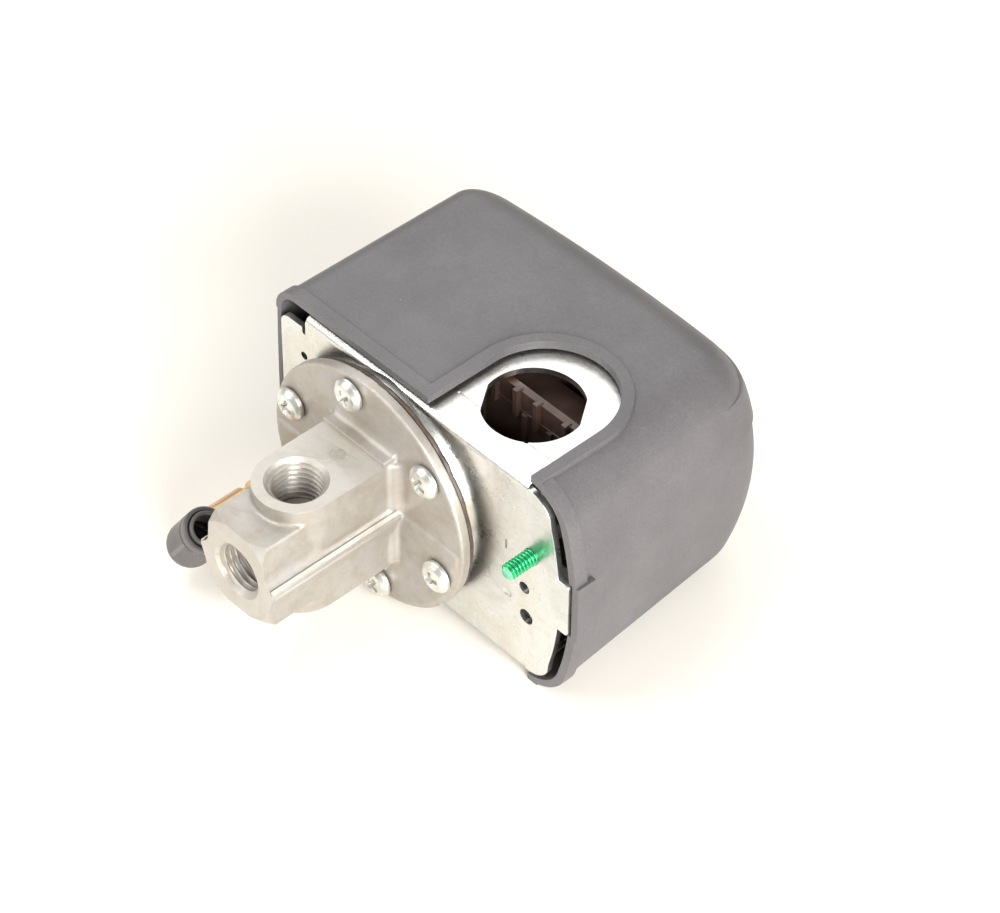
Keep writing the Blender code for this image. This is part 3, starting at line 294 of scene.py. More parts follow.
def outward(outline):
    """How far and which way each point of an outline moves for its sides to move out by one."""
    count = len(outline)
    area = sum(outline[i - 1][0] * outline[i][1] - outline[i][0] * outline[i - 1][1] for i in range(count))
    sign = 1 if area > 0 else -1
    found = []
    for index in range(count):
        before, here, after = (Vector(outline[(index + k) % count]) for k in (-1, 0, 1))
        first, second = (here - before).normalized(), (after - here).normalized()
        corner = Vector((first.y + second.y, -(first.x + second.x)))
        facing = Vector((first.y, -first.x))
        if corner.length < 1e-6:
            found.append(facing * sign)
            continue
        corner.normalize()
        found.append(corner * sign / max(0.35, corner.dot(facing)))
    return found


def softened(outline, low, high, place, edge=0.2 * MM, steps=2):
    """An extruded outline whose rims are rounded over by edge."""
    normals = outward(outline)
    angles = [math.pi / 2 * step / steps for step in range(steps + 1)]
    levels = [(edge * (1 - math.sin(a)), edge * (1 - math.cos(a))) for a in angles]
    levels = [(sink, low + rise) for sink, rise in levels] + [(sink, high - rise) for sink, rise in reversed(levels)]
    return skinned([[place @ Vector((p[0] - n.x * sink, p[1] - n.y * sink, depth)) for p, n in zip(outline, normals)]
            for sink, depth in levels])


def swept(path, profile, up):
    """A closed profile of (out, up) points swept along a path; out is to the path's right, seen from above."""
    rings = []
    for index, here in enumerate(path):
        first = (here - path[index - 1]).normalized() if index else (path[1] - here).normalized()
        second = (path[index + 1] - here).normalized() if index < len(path) - 1 else first
        out = up.cross((first + second).normalized()).normalized()
        widen = 1 / max(0.4, out.dot(up.cross(first).normalized()))
        rings.append([here + out * (a * widen) + up * b for a, b in profile])
    return skinned(rings)


def rounded_profile(low_out, high_out, low_up, high_up, radius, steps=3):
    """A rectangle with rounded corners, as (out, up) points."""
    points = []
    for cx, cz, start in ((high_out - radius, high_up - radius, 0), (low_out + radius, high_up - radius, 90),
            (low_out + radius, low_up + radius, 180), (high_out - radius, low_up + radius, 270)):
        points += arc((cx, cz), radius, start, start + 90, steps)
    return points


def as_object(name, work):
    """A mesh object from a bmesh, which is freed."""
    mesh = bpy.data.meshes.new(name)
    work.to_mesh(mesh)
    work.free()
    made = bpy.data.objects.new(name, mesh)
    bpy.context.scene.collection.objects.link(made)
    return made


def taken_back(target):
    """A bmesh from an object, which is removed."""
    work = bmesh.new()
    work.from_mesh(target.data)
    bpy.data.objects.remove(target)
    return work


def apply_modifiers(target):
    """Replaces a piece's mesh with its evaluated one."""
    bpy.context.view_layer.update()
    view = bpy.context.evaluated_depsgraph_get()
    mesh = bpy.data.meshes.new_from_object(target.evaluated_get(view))
    old = target.data
    target.modifiers.clear()
    target.data = mesh
    bpy.data.meshes.remove(old)


def combine(target, operation, tools):
    """Joins, cuts or intersects a piece with meshes, one after another."""
    for work in tools:
        tool = as_object("tool", work)
        step = target.modifiers.new("combine", "BOOLEAN")
        step.operation = operation
        step.solver = "MANIFOLD"
        step.object = tool
        apply_modifiers(target)
        bpy.data.objects.remove(tool)
    return target


def join(target, *tools):
    return combine(target, "UNION", tools)


def cut(target, *tools):
    return combine(target, "DIFFERENCE", tools)


def keep_within(target, *tools):
    return combine(target, "INTERSECT", tools)


def piece(target, name, body, node, slot, smooth=32, look=None):
    """Names a finished piece, smooths it, dresses it and makes it ride its body, if it is given one."""
    target.name = name
    target.data.name = name
    target.data.materials.clear()
    target.data.materials.append(look or LOOKS[slot])
    target.data.shade_smooth()
    target.data.set_sharp_from_angle(angle=math.radians(smooth))
    target.modifiers.new("even_shading", "WEIGHTED_NORMAL").keep_sharp = True
    if body:
        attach(target, body)
    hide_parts(node)
    return target


# ---- materials

class Look:
    """A Principled material with helpers that wire procedural detail into it."""

    def __init__(self, name, roughness=0.5, metallic=0.0, **fixed):
        self.material = bpy.data.materials.new(name)
        self.material.use_nodes = True
        self.nodes = self.material.node_tree.nodes
        self.links = self.material.node_tree.links
        self.shader = self.nodes["Principled BSDF"]
        self.shader.inputs["Roughness"].default_value = roughness
        self.shader.inputs["Metallic"].default_value = metallic
        for socket, value in fixed.items():
            self.shader.inputs[socket.replace("_", " ")].default_value = value
        self.place = self.nodes.new("ShaderNodeTexCoord").outputs["Object"]
        self.normal = None

    def feed(self, socket, value):
        """Links a socket to another, or sets its value."""
        if isinstance(value, bpy.types.NodeSocket):
            self.links.new(value, socket)
        else:
            socket.default_value = value

    def node(self, kind, **values):
        """A new node with its named inputs fed."""
        made = self.nodes.new(kind)
        for name, value in values.items():
            self.feed(made.inputs[name.replace("_", " ")], value)
        return made

    def noise(self, scale, detail=4.0, roughness=0.55, distortion=0.0, vector=None):
        return self.node("ShaderNodeTexNoise", Scale=scale, Detail=detail, Roughness=roughness,
                Distortion=distortion, Vector=vector or self.place).outputs["Fac"]

    def ramp(self, value, *stops):
        made = self.node("ShaderNodeValToRGB", Fac=value)
        elements = made.color_ramp.elements
        while len(elements) < len(stops):
            elements.new(0.5)
        for element, (position, shade) in zip(elements, stops):
            element.position = position
            element.color = (*shade, 1.0) if isinstance(shade, tuple) else (shade, shade, shade, 1.0)
        return made.outputs["Color"]

    def cloud(self, noise_shape, *stops):
        return self.ramp(self.noise(*noise_shape), *stops)

    def times(self, first, second):
        made = self.nodes.new("ShaderNodeMath")
        made.operation = "MULTIPLY"
        self.feed(made.inputs[0], first)
        self.feed(made.inputs[1], second)
        return made.outputs[0]

    def mix(self, share, first, second, blend="MIX"):
        made = self.nodes.new("ShaderNodeMix")
        made.data_type = "RGBA"
        made.blend_type = blend
        made.clamp_factor = True
        for name, value in (("Factor", share), ("A", first), ("B", second)):
            socket = [s for s in made.inputs if s.name == name and (name == "Factor" or s.type == "RGBA")][0]
            self.feed(socket, (*value, 1.0) if isinstance(value, tuple) else value)
        return [s for s in made.outputs if s.type == "RGBA"][0]

    def paint(self, color):
        self.feed(self.shader.inputs["Base Color"], color)

    def bump(self, height, strength, distance):
        made = self.node("ShaderNodeBump", Strength=strength, Distance=distance, Height=height)
        if self.normal:
            self.feed(made.inputs["Normal"], self.normal)
        self.normal = made.outputs["Normal"]
        self.feed(self.shader.inputs["Normal"], self.normal)

    def edges(self, low, high):
        """How sharply the surface turns outwards, from 0 to 1."""
        geometry = self.nodes.new("ShaderNodeNewGeometry")
        return self.ramp(geometry.outputs["Pointiness"], (low, 0.0), (high, 1.0))

    def finish(self, roughness, *grains):
        """Roughness as (noise, low, high), then each bump as (noise, strength, depth)."""
        cloud, low, high = roughness
        varied = self.node("ShaderNodeMapRange", Value=self.noise(*cloud), To_Min=low, To_Max=high)
        self.feed(self.shader.inputs["Roughness"], varied.outputs["Result"])
        for grain, strength, depth in grains:
            self.bump(self.noise(*grain), strength, depth)
        return self.material


def cover_plastic():
    look = Look("cover_plastic")
    broad = look.cloud((38, 6, 0.62), (0.3, (0.094, 0.088, 0.091)), (0.7, (0.130, 0.122, 0.125)))
    grain = look.cloud((1900, 3, 0.7), (0.3, (0.70, 0.70, 0.70)), (0.72, (1.22, 1.22, 1.22)))
    scuffs = look.cloud((260, 4, 0.75, 0.5), (0.62, 0.0), (0.76, 0.30))
    worn = look.mix(scuffs, look.mix(0.55, broad, grain, "MULTIPLY"), (0.17, 0.163, 0.165))
    cells = look.node("ShaderNodeTexVoronoi", Scale=420, Vector=look.place).outputs["Distance"]
    specks = look.ramp(cells, (0.02, 1.0), (0.05, 0.0))
    chance = look.cloud((60, 2), (0.56, 0.0), (0.60, 1.0))
    look.paint(look.mix(look.times(specks, chance), worn, (0.46, 0.45, 0.43)))
    return look.finish(((120, 5, 0.6), 0.38, 0.54), ((2400, 3, 0.6), 0.38, 0.00008), ((90, 3, 0.5), 0.10, 0.0006))


def cast_metal():
    look = Look("cast_metal", 0.45, 0.82)
    broad = look.cloud((70, 6, 0.65), (0.3, (0.395, 0.36, 0.312)), (0.55, (0.46, 0.435, 0.402)),
            (0.75, (0.43, 0.41, 0.415)))
    stain = look.mix(look.cloud((220, 6, 0.7, 0.4), (0.46, 0.0), (0.68, 0.7)), broad, (0.375, 0.325, 0.26))
    look.paint(look.mix(look.times(look.edges(0.51, 0.56), 0.45), stain, (0.66, 0.63, 0.58)))
    return look.finish(((400, 5, 0.7), 0.42, 0.64), ((1500, 4, 0.6), 0.40, 0.00012), ((260, 3, 0.5), 0.30, 0.0003))


def zinc():
    look = Look("zinc_plate", 0.24, 1.0)
    broad = look.cloud((60, 6, 0.65, 0.8), (0.32, (0.565, 0.585, 0.57)), (0.5, (0.71, 0.71, 0.69)),
            (0.68, (0.645, 0.62, 0.545)))
    spots = look.cloud((700, 6, 0.8), (0.54, 0.0), (0.66, 0.6))
    grime = look.cloud((260, 5, 0.7), (0.66, 0.0), (0.74, 0.7))
    look.paint(look.mix(grime, look.mix(spots, broad, (0.52, 0.51, 0.47)), (0.42, 0.38, 0.30)))
    return look.finish(((190, 6, 0.75, 0.6), 0.16, 0.44), ((1100, 5, 0.7), 0.30, 0.0001), ((150, 4, 0.6), 0.30, 0.0005))


def brass():
    look = Look("brass_look", 0.28, 1.0)
    broad = look.cloud((180, 5, 0.6), (0.3, (0.58, 0.36, 0.17)), (0.7, (0.78, 0.54, 0.29)))
    look.paint(look.mix(look.cloud((700, 4), (0.6, 0.0), (0.75, 0.6)), broad, (0.36, 0.22, 0.11)))
    return look.finish(((600, 4), 0.2, 0.42), ((2200, 3), 0.15, 0.00006))


def green_plate():
    look = Look("green_plate", 0.22, 0.75)
    tint = look.cloud((700, 4), (0.3, (0.006, 0.30, 0.10)), (0.7, (0.03, 0.50, 0.20)))
    # Lighter green on the convex thread crests is a painted highlight; near black in the hollows between them is
    # painted shade.
    crest_highlight = look.mix(look.edges(0.52, 0.60), tint, (0.30, 0.85, 0.52))
    look.paint(look.mix(look.edges(0.40, 0.49), (0.0, 0.05, 0.015), crest_highlight))
    return look.finish(((900, 4), 0.15, 0.32), ((2200, 3), 0.15, 0.00006))


def fitting_plastic():
    look = Look("fitting_plastic", 0.38)
    broad = look.cloud((160, 4), (0.3, (0.062, 0.056, 0.056)), (0.7, (0.090, 0.082, 0.081)))
    look.paint(look.mix(look.times(look.edges(0.52, 0.6), 0.6), broad, (0.18, 0.168, 0.16)))
    return look.finish(((500, 4), 0.30, 0.46), ((2600, 2), 0.15, 0.00005))


def phenolic():
    look = Look("phenolic_look", 0.4)
    stretched = look.node("ShaderNodeMapping", Vector=look.place, Scale=(1, 0.3, 1)).outputs["Vector"]
    flow = look.noise(90, 5, 0.6, 0.8, stretched)
    look.paint(look.ramp(flow, (0.3, (0.045, 0.026, 0.020)), (0.7, (0.085, 0.050, 0.038))))
    return look.finish(((400, 4), 0.30, 0.5), ((1800, 3), 0.18, 0.00007))


def mottled(name, roughness, metallic, cloud, dark, light, *finish, **fixed):
    """A finish with one mottled colour."""
    look = Look(name, roughness, metallic, **fixed)
    look.paint(look.cloud(cloud, (0.3, dark), (0.7, light)))
    return look.finish(*finish)


FITTING_LOOK = fitting_plastic()
LOOKS = {
    "zinc_plated_steel": zinc(),
    "brass": brass(),
    "phenolic": phenolic(),
    "cast_aluminium": cast_metal(),
    "green_plated_steel": green_plate(),
    "black_plastic": FITTING_LOOK,
    "grey_plastic": FITTING_LOOK,
    "rubber": mottled("rubber_look", 0.45, 0.0, (300, 5), (0.030, 0.020, 0.014), (0.085, 0.058, 0.038),
        ((800, 5), 0.22, 0.6), ((700, 4, 0.6), 0.5, 0.0003)),
    "white_plastic": mottled("pale_plastic", 0.45, 0.0, (120, 4), (0.58, 0.55, 0.48), (0.68, 0.66, 0.60),
        ((500, 4), 0.36, 0.55), ((2400, 2), 0.12, 0.00005), Subsurface_Weight=0.05),
    "spring_steel": mottled("spring_steel_look", 0.3, 1.0, (500, 4), (0.36, 0.36, 0.37), (0.56, 0.56, 0.56),
        ((900, 4), 0.2, 0.4), ((2600, 2), 0.12, 0.00004)),
}
COVER_LOOK = cover_plastic()
SCREW_LOOK = mottled("bright_screw", 0.35, 1.0, (800, 4), (0.66, 0.66, 0.63), (0.82, 0.81, 0.77),
    ((1200, 4), 0.28, 0.42), ((1600, 3), 0.25, 0.00008))

# ---- cover

def by_side(point, pair):
    """The value for the right or the left side."""
    return pair[0] if point[0] > 0 else pair[1]


def cover_section(inset):
    """The cover's outline seen along Y about its middle, drawn in by an inset."""
    half_z = COVER_HALF_Z - inset
    points = []
    for side_x, side_z, start in ((1, 1, 0), (-1, 1, 90), (-1, -1, 180), (1, -1, 270)):
        bulge, corner = COVER_RIGHT if side_x > 0 else COVER_LEFT
        corner = max(corner - inset, 1.2 * MM)
        reach = COVER_HALF_X - bulge - inset
        curve = arc((side_x * (reach - corner), side_z * (half_z - corner)), corner, start, start + 90, 10)
        if points:
            points += between(points[-1], curve[0], 16)
        points += curve
    points += between(points[-1], points[0], 16)
    bowed = []
    for x, z in points:
        bulge = by_side((x, z), (COVER_RIGHT, COVER_LEFT))[0]
        share = min(1.0, abs(x) / (COVER_HALF_X - bulge))
        bowed.append((x + math.copysign(bulge * (1 - (z / half_z) ** 2) * share, x), z))
    return bowed


def crown_y(x, z):
    """How far the closed end reaches, measured from its middle sideways and up or down."""
    return END_Y - COVER_CROWN * (z / COVER_HALF_Z) ** 2 - COVER_BOW * (x / COVER_HALF_X) ** 2


def drawn_in(point, in_x, in_z):
    """A point of the outline moved towards the cover's middle."""
    return point[0] * (1 - in_x / COVER_HALF_X), point[1] * (1 - in_z / COVER_HALF_Z)


def edge_radii(section):
    """The rounding onto the closed end at each point: generous at the short sides, smaller at the wide ones."""
    radii = []
    for index, point in enumerate(section):
        before, after = section[index - 1], section[(index + 1) % len(section)]
        facing = abs(after[1] - before[1]) / math.hypot(after[0] - before[0], after[1] - before[1])
        radii.append(COVER_TOP_EDGE + (by_side(point, COVER_SIDE_EDGE) - COVER_TOP_EDGE) * facing ** 1.5)
    return radii


def cover_solid(inset, start_y):
    """The solid inside one skin of the cover, inset from the outer one, from start_y to the closed end."""
    section = cover_section(inset)
    radii = [radius - inset for radius in edge_radii(section)]
    rings = []
    walls, rounds = 12, 14
    for step in range(walls + 1):
        share = step / walls
        ring = [drawn_in(point, by_side(point, COVER_DRAFT_X) * share, COVER_DRAFT_Z * share) for point in section]
        rings.append([(x, start_y + (crown_y(x, z) - inset - radius - start_y) * share, z)
                for (x, z), radius in zip(ring, radii)])
    for step in range(1, rounds + 1):
        angle = math.pi / 2 * step / rounds
        fold = 1 - math.cos(angle)
        ring = [drawn_in(point, by_side(point, COVER_DRAFT_X) + (by_side(point, COVER_SIDE_EDGE) - inset) * fold,
                COVER_DRAFT_Z + (COVER_TOP_EDGE - inset) * fold) for point in section]
        rings.append([(x, crown_y(x, z) - inset - radius * (1 - math.sin(angle)), z)
                for (x, z), radius in zip(ring, radii)])
    final = [(x, z) for x, _, z in rings[-1]]
    for share in (0.92, 0.8, 0.66, 0.5, 0.33, 0.16):
        rings.append([(x * share, crown_y(x * share, z * share) - inset, z * share) for x, z in final])
    rings.append([(0, END_Y - inset, 0)])
    return skinned([[(x, y, z + MID_Z) for x, y, z in ring] for ring in rings])


def cut_path(radius, start_y):
    """A U round the cable cut-out, from one end at the rim to the other."""
    curve = arc((CUT_X, CUT_Y), radius, 180, 0, 40)
    path = [(CUT_X - radius, start_y)] + between((CUT_X - radius, start_y), curve[0], 6) + curve
    path += between(curve[-1], (CUT_X + radius, start_y), 6) + [(CUT_X + radius, start_y)]
    return [Vector((x, y, 0)) for x, y in path]


def bead():
    """The raised rim, which leaves out most of the left side."""
    section = cover_section(0.0)
    bare = [x < 0 and abs(z) < BARE_LEFT_Z for x, z in section]
    first = next(i for i in range(len(section)) if bare[i - 1] and not bare[i])
    ordered = [point for point, left_out in zip(section[first:] + section[:first], bare[first:] + bare[:first])
            if not left_out]
    left_x = ordered[0][0]
    path = [(left_x, -BARE_LEFT_Z)] + ordered + [(left_x, BARE_LEFT_Z)]
    profile = rounded_profile(-0.9 * MM, BEAD_PROUD, 0.0, BEAD_DEPTH, 0.18 * MM)
    return swept([Vector((x, RIM_Y, z + MID_Z)) for x, z in path], profile, Y)


def band():
    """A low strap moulded over the closed end, which fades out down the sides."""
    skin = cover_solid(-BAND_PROUD, RIM_Y)
    start, end = BAND_FADE_Y
    for point in skin.verts:
        fade = min(1.5, max(0.0, (start - point.co.y) / (start - end)))
        point.co.x *= 1 - 1.5 * BAND_PROUD * fade / COVER_HALF_X
    near, far = mm(33, 60)
    outline = [(near, BAND_Z[0]), (far, BAND_Z[0]), (far, BAND_Z[1]), (near, BAND_Z[1])]
    return taken_back(keep_within(as_object("band", skin), extruded(outline, -far, far, IN_YZ_MIDWAY)))


def pocket():
    """The bulge on the right side that makes room for the plate's tab."""
    low, high = POCKET_Z
    outline = [(RIM_Y, low), (RIM_Y + POCKET_DEPTH, low), (RIM_Y + POCKET_DEPTH, high), (RIM_Y, high)]
    return softened(outline, COVER_HALF_X - 2 * MM, COVER_HALF_X + POCKET_PROUD, IN_YZ_MIDWAY, 0.15 * MM)


def cover():
    """The moulded shell with its rim, band, pocket, lips, cable cut-outs and nut recess."""
    shell = join(as_object("cover_shell", cover_solid(0.0, RIM_Y)), bead(), band(), pocket())
    for side in (1, -1):
        profile = rounded_profile(0.0, LIP_R - CUT_R, -1.1 * MM, BEAD_PROUD, 0.2 * MM)
        lip = swept(cut_path(CUT_R, RIM_Y + 0.04 * MM), [(a, b * side) for a, b in profile], Z)
        join(shell, moved(lip, Matrix.Translation(Z * (MID_Z + side * COVER_HALF_Z))))
    well = rod(10.8 * MM, (RANGE_X, END_Y - 8.8 * MM, MID_Z), (RANGE_X, END_Y - 1.2 * MM, MID_Z))
    hollow = taken_back(cut(as_object("cavity", cover_solid(COVER_WALL, RIM_Y - 2 * MM)), well))
    start = RIM_Y - 5 * MM
    outline = [(CUT_X - CUT_R, start), (CUT_X + CUT_R, start)] + arc((CUT_X, CUT_Y), CUT_R, 0, 180, 48)
    opening = extruded(outline, -5 * MM, MID_Z * 2 + 5 * MM, IN_XY)
    recess = turned(mm((9, 0), (9, 7.4), (10.2, 8.8), (12, 10)), (RANGE_X, END_Y - 7 * MM, MID_Z), Y, 56)
    stud_hole = rod(3.4 * MM, (RANGE_X, END_Y - 20 * MM, MID_Z), (RANGE_X, END_Y, MID_Z), 32)
    tab_room = block((41 * MM, RIM_Y - MM, MID_Z - 7.6 * MM), (45.2 * MM, PLATE_REAR_Y + 0.4 * MM, MID_Z + 7.6 * MM))
    cut(shell, hollow, opening, recess, stud_hole, tab_room)
    piece(shell, "cover_shell", "cover_body", "cover", "black_plastic", 28, COVER_LOOK)


# ---- casting

def block_section():
    """The block's section: drafted sides with a cove above the parting line and none below it."""
    cove = [(8.8 * MM + 2.1 * MM * (step / 7) ** 2.6, (4.8 - 4.2 * step / 7) * MM) for step in range(8)]
    ridge = PART_HALF_X + 0.15 * MM
    right = [(BODY_HALF_X + MM, -BODY_HALF_Z), *mm((9.9, -4.8), (11.0, -1.4)), (ridge, -0.5 * MM), (ridge, 0.5 * MM)]
    right += cove[::-1] + [(BODY_HALF_X, BODY_HALF_Z)]
    return [(DISC_X + x, MID_Z + z) for x, z in right] + [(DISC_X - x, MID_Z + z) for x, z in reversed(right)]


def flared_web(side):
    """Where one side of the port pad runs out onto the flange in a cove."""
    flare = 2.2 * MM
    wall = DISC_X + side * (PAD_HALF_X + 0.6 * MM)
    quarter = [math.pi / 2 * step / 8 for step in range(9)]
    web = [(wall - side * MM, DISC_FRONT_Y + MM)]
    web += [(wall + side * flare * (1 - math.sin(a)), DISC_FRONT_Y - flare * (1 - math.cos(a))) for a in quarter]
    web += [(wall - side * MM, DISC_FRONT_Y - flare)]
    return extruded(web, MID_Z - PAD_HALF_Z + 0.5 * MM, MID_Z + PAD_HALF_Z - 0.5 * MM, IN_XY)


def cast_shapes():
    """The shapes that the casting is melted together from: flange, plateau, block, port pad, its ramp and webs."""
    root = DISC_FRONT_Y + MM
    flange = turned([(DISC_R, 0), (DISC_R, DISC_THICK)], (DISC_X, DISC_REAR_Y, MID_Z), -Y, 128)
    lower = arc((DISC_X, MID_Z), DISC_R - 1.1 * MM, 179.5, 360.5, 60)
    pad = [(DISC_X + PAD_HALF_X, root), (DISC_X - PAD_HALF_X, root)] + arc((DISC_X, PORT_Y), PAD_HALF_X, 180, 360, 48)
    fillet = 3.4 * MM
    corner, edge = DISC_FRONT_Y - fillet, PAD_HALF_Z + fillet
    ramp = [(root, -edge)] + arc((corner, -edge), fillet, 0, 90, 10) + arc((corner, edge), fillet, 270, 360, 10)
    ramp_half_x = PAD_HALF_X - 0.1 * MM
    return (flange, extruded(lower, DISC_FRONT_Y - PLATEAU_RISE, root, IN_XZ),
            extruded(block_section(), BLOCK_END_Y - MM, root, IN_XZ),
            extruded(pad, MID_Z - PAD_HALF_Z - MM, MID_Z + PAD_HALF_Z + MM, IN_XY),
            extruded(ramp + [(root, edge)], DISC_X - ramp_half_x, DISC_X + ramp_half_x, IN_YZ_MIDWAY),
            flared_web(1), flared_web(-1))


def casting():
    """The manifold: cast shapes melted together on a fine grid, then machined."""
    raw = bmesh.new()
    for shape in cast_shapes():
        scrap = bpy.data.meshes.new("scrap")
        shape.to_mesh(scrap)
        shape.free()
        raw.from_mesh(scrap)
        bpy.data.meshes.remove(scrap)
    body = as_object("casting", raw)
    melt = body.modifiers.new("melt", "REMESH")
    melt.mode = "VOXEL"
    melt.voxel_size = VOXEL
    soften = body.modifiers.new("soften", "SMOOTH")
    soften.factor = 0.5
    soften.iterations = 5
    apply_modifiers(body)
    for side in (1, -1):
        ridge = mm((10.6, 1.5), (11.15, 0.75), (11.7, 0.4), (11.7, -0.4), (11.3, -0.8), (10.4, -1.1))
        ridge = [(DISC_X + side * x, MID_Z + z) for x, z in ridge]
        join(body, extruded(ridge, BLOCK_END_Y + 0.3 * MM, DISC_FRONT_Y + 0.5 * MM, IN_XZ))
    machine(body)
    piece(body, "manifold_casting", "base", "manifold", "cast_aluminium", 30)


def machine(body):
    """Facing cuts, the blunt turned nose, ports with their threads, screw holes and the diaphragm's chamber."""
    far = 60 * MM
    for side in (1, -1):
        low, high = sorted((MID_Z + side * PAD_HALF_Z, MID_Z + side * (PAD_HALF_Z + 6 * MM)))
        reach = 14 * MM
        cut(body, block((DISC_X - reach, BLOCK_END_Y - 5 * MM, low), (DISC_X + reach, DISC_FRONT_Y - 3.4 * MM, high)))
    nose = mm((11.7, 0), (18, 5.6), (40, 6.4)) + [(40 * MM, far)]
    rim = [(DISC_R, 0), (DISC_R, 2.2 * MM), (DISC_R - DISC_CHAMFER, DISC_THICK), (DISC_R - DISC_CHAMFER, far)]
    keep_within(body, turned(nose, (DISC_X, BLOCK_END_Y, MID_Z), Y, 96))
    keep_within(body, turned(rim, (DISC_X, DISC_REAR_Y, MID_Z), -Y, 160))
    cut(body, rod(20 * MM, (DISC_X, DISC_REAR_Y + MM, MID_Z), (DISC_X, DISC_REAR_Y - 1.1 * MM, MID_Z), 64))
    for number in range(6):
        cut(body, along_y(SCREW_HOLE_R, screw_axis(number), DISC_REAR_Y + MM, DISC_FRONT_Y - 2 * MM, 32))
    for at, inward in (((DISC_X, PORT_Y, MID_Z + PAD_HALF_Z), -Z), ((DISC_X, PORT_Y, MID_Z - PAD_HALF_Z), Z),
            ((DISC_X, BLOCK_END_Y, MID_Z), Y)):
        start = Vector(at) - inward * 1.2 * MM
        cut(body, threaded(6.35 * MM, PIPE_PITCH, 0.75 * MM, 11.4 * MM, start, inward, 56, 8, -0.3 * MM),
            turned(mm((8.15, 0), (6.95, 1.2), (5.4, 2.75)), start, inward, 56),
            turned(mm((5.2, 9), (5.2, 11.8), (3.3, 13.4), (3.3, 17)), start, inward))
    cut(body, rod(2.4 * MM, (DISC_X, BLOCK_END_Y + 12 * MM, MID_Z), (DISC_X, DISC_REAR_Y + MM, MID_Z), 32))
    mark = (DISC_X + 0.1 * MM, -25.6 * MM, MID_Z + PAD_HALF_Z - 0.12 * MM)
    cut(body, turned(mm((1.75, 0), (1.75, 0.5)), mark, Z, 40))


def along_y(radius, at, start, end, sides):
    """A rod along Y, from start to end as measured from a point."""
    return rod(radius, at + Y * start, at + Y * end, sides)


def screw_axis(number):
    """Where a flange screw sits, on the plane y = 0, from its CAD node."""
    at = middle(f"flange_screw_{number + 1}")
    return Vector((at.x, 0, at.z))


# ---- screws, nuts and the diaphragm

def cross_recess(at, along, span, width, depth, spin):
    """A tapering cross-shaped recess as two cutters."""
    cutters = []
    for quarter in range(2):
        place = basis(at, along) @ Matrix.Rotation(spin + quarter * math.pi / 2, 4, "Z")
        rings = []
        for height, share in ((-0.4 * MM, 1.06), (0.0, 1.0), (depth, 0.30)):
            a, b = span / 2 * share, width / 2 * (0.6 + 0.4 * share)
            rings.append([place @ Vector((x, y, height)) for x, y in ((-a, -b), (a, -b), (a, b), (-a, b))])
        cutters.append(skinned(rings))
    return cutters


def pan_head(at, along, head_r, head_h, shank_r, length, pitch, spin):
    """A pan-head screw: at is the middle of the underside of its head, along points from the head to its tip."""
    dome = [(head_r * share, -head_h * (1 - 0.42 * share ** 2.6)) for share in (0.2, 0.4, 0.55, 0.7, 0.8)]
    side = arc((head_r - 0.55 * MM, -0.75 * MM), 0.55 * MM, -58, 0, 5)
    side += [(head_r, -0.3 * MM), (head_r - 0.25 * MM, 0.0)]
    neck = [(shank_r * 0.8, 0.0), (shank_r * 0.8, 0.6 * MM), (0, 0.6 * MM)]
    screw = as_object("screw", turned([(0, -head_h)] + dome + side + neck, at, along))
    join(screw, threaded(shank_r, pitch, shank_r * 0.16, length - 0.2 * MM, at + along * 0.2 * MM, along, 28, 6))
    return cut(screw, *cross_recess(at - along * head_h, along, head_r * 1.12, head_r * 0.29, head_h * 0.72, spin))


def flange_screws():
    head_h = 2.4 * MM
    for number, spin in enumerate((0.35, 1.0, 0.2, 0.9, 0.55, 1.3)):
        node = f"flange_screw_{number + 1}"
        low, high = extent(node)
        at = screw_axis(number) + Y * (low.y + head_h)
        screw = pan_head(at, Y, 3.9 * MM, head_h, 2.0 * MM, high.y - at.y, 0.7 * MM, spin)
        piece(screw, f"pan_screw_{number + 1}", "base", node, "zinc_plated_steel", 38, SCREW_LOOK)


def nut_piece(name, node, body, bore, slot, chamfer=0.12, blind=None):
    """A hexagonal nut whose corners are turned off at both ends. A blind bore stops at that depth."""
    low, high = extent(node)
    at, height, radius = front_end(node), high.y - low.y, (high.z - low.z) / 2
    nut = as_object(name, extruded(arc((0, 0), radius, 0, 300, 5), 0, height, basis(at, Y)))
    edge = radius * chamfer
    keep_within(nut, turned([(0, 0), (radius * 0.90, 0), (radius * 1.01, edge), (radius * 1.01, height - edge),
            (radius * 0.90, height), (0, height)], at, Y))
    cut(nut, along_y(bore, at, -MM, blind or height + MM, 32))
    piece(nut, name, body, node, slot)


def diaphragm():
    """Rubber sheet whose squeezed rim shows a wavy edge between the flange and the plate."""
    front, rear = disc_low.y, disc_high.y
    rings = []
    for radius, y, wave in ((18.0, front, 0), (28.2, front, 0), (28.9, front, 0.1), (29.15, (front + rear) / 2, 0.26),
            (28.9, rear, 0.22), (28.2, rear, 0.05), (18.0, rear, 0)):
        ring = []
        for angle in circle(220):
            ripple = noise.noise(Vector((math.cos(angle) * 9, math.sin(angle) * 9, 3.1))) * wave * MM
            r = radius * MM + ripple
            ring.append((DISC_X + r * math.cos(angle), y + ripple * 0.3, MID_Z + r * math.sin(angle)))
        rings.append(ring)
    sheet = as_object("diaphragm", skinned(rings))
    cut(sheet, *(along_y(SCREW_HOLE_R, screw_axis(number), front - MM, rear + MM, 24) for number in range(6)))
    piece(sheet, "diaphragm_sheet", "base", "diaphragm", "rubber", 50)


# ---- plate

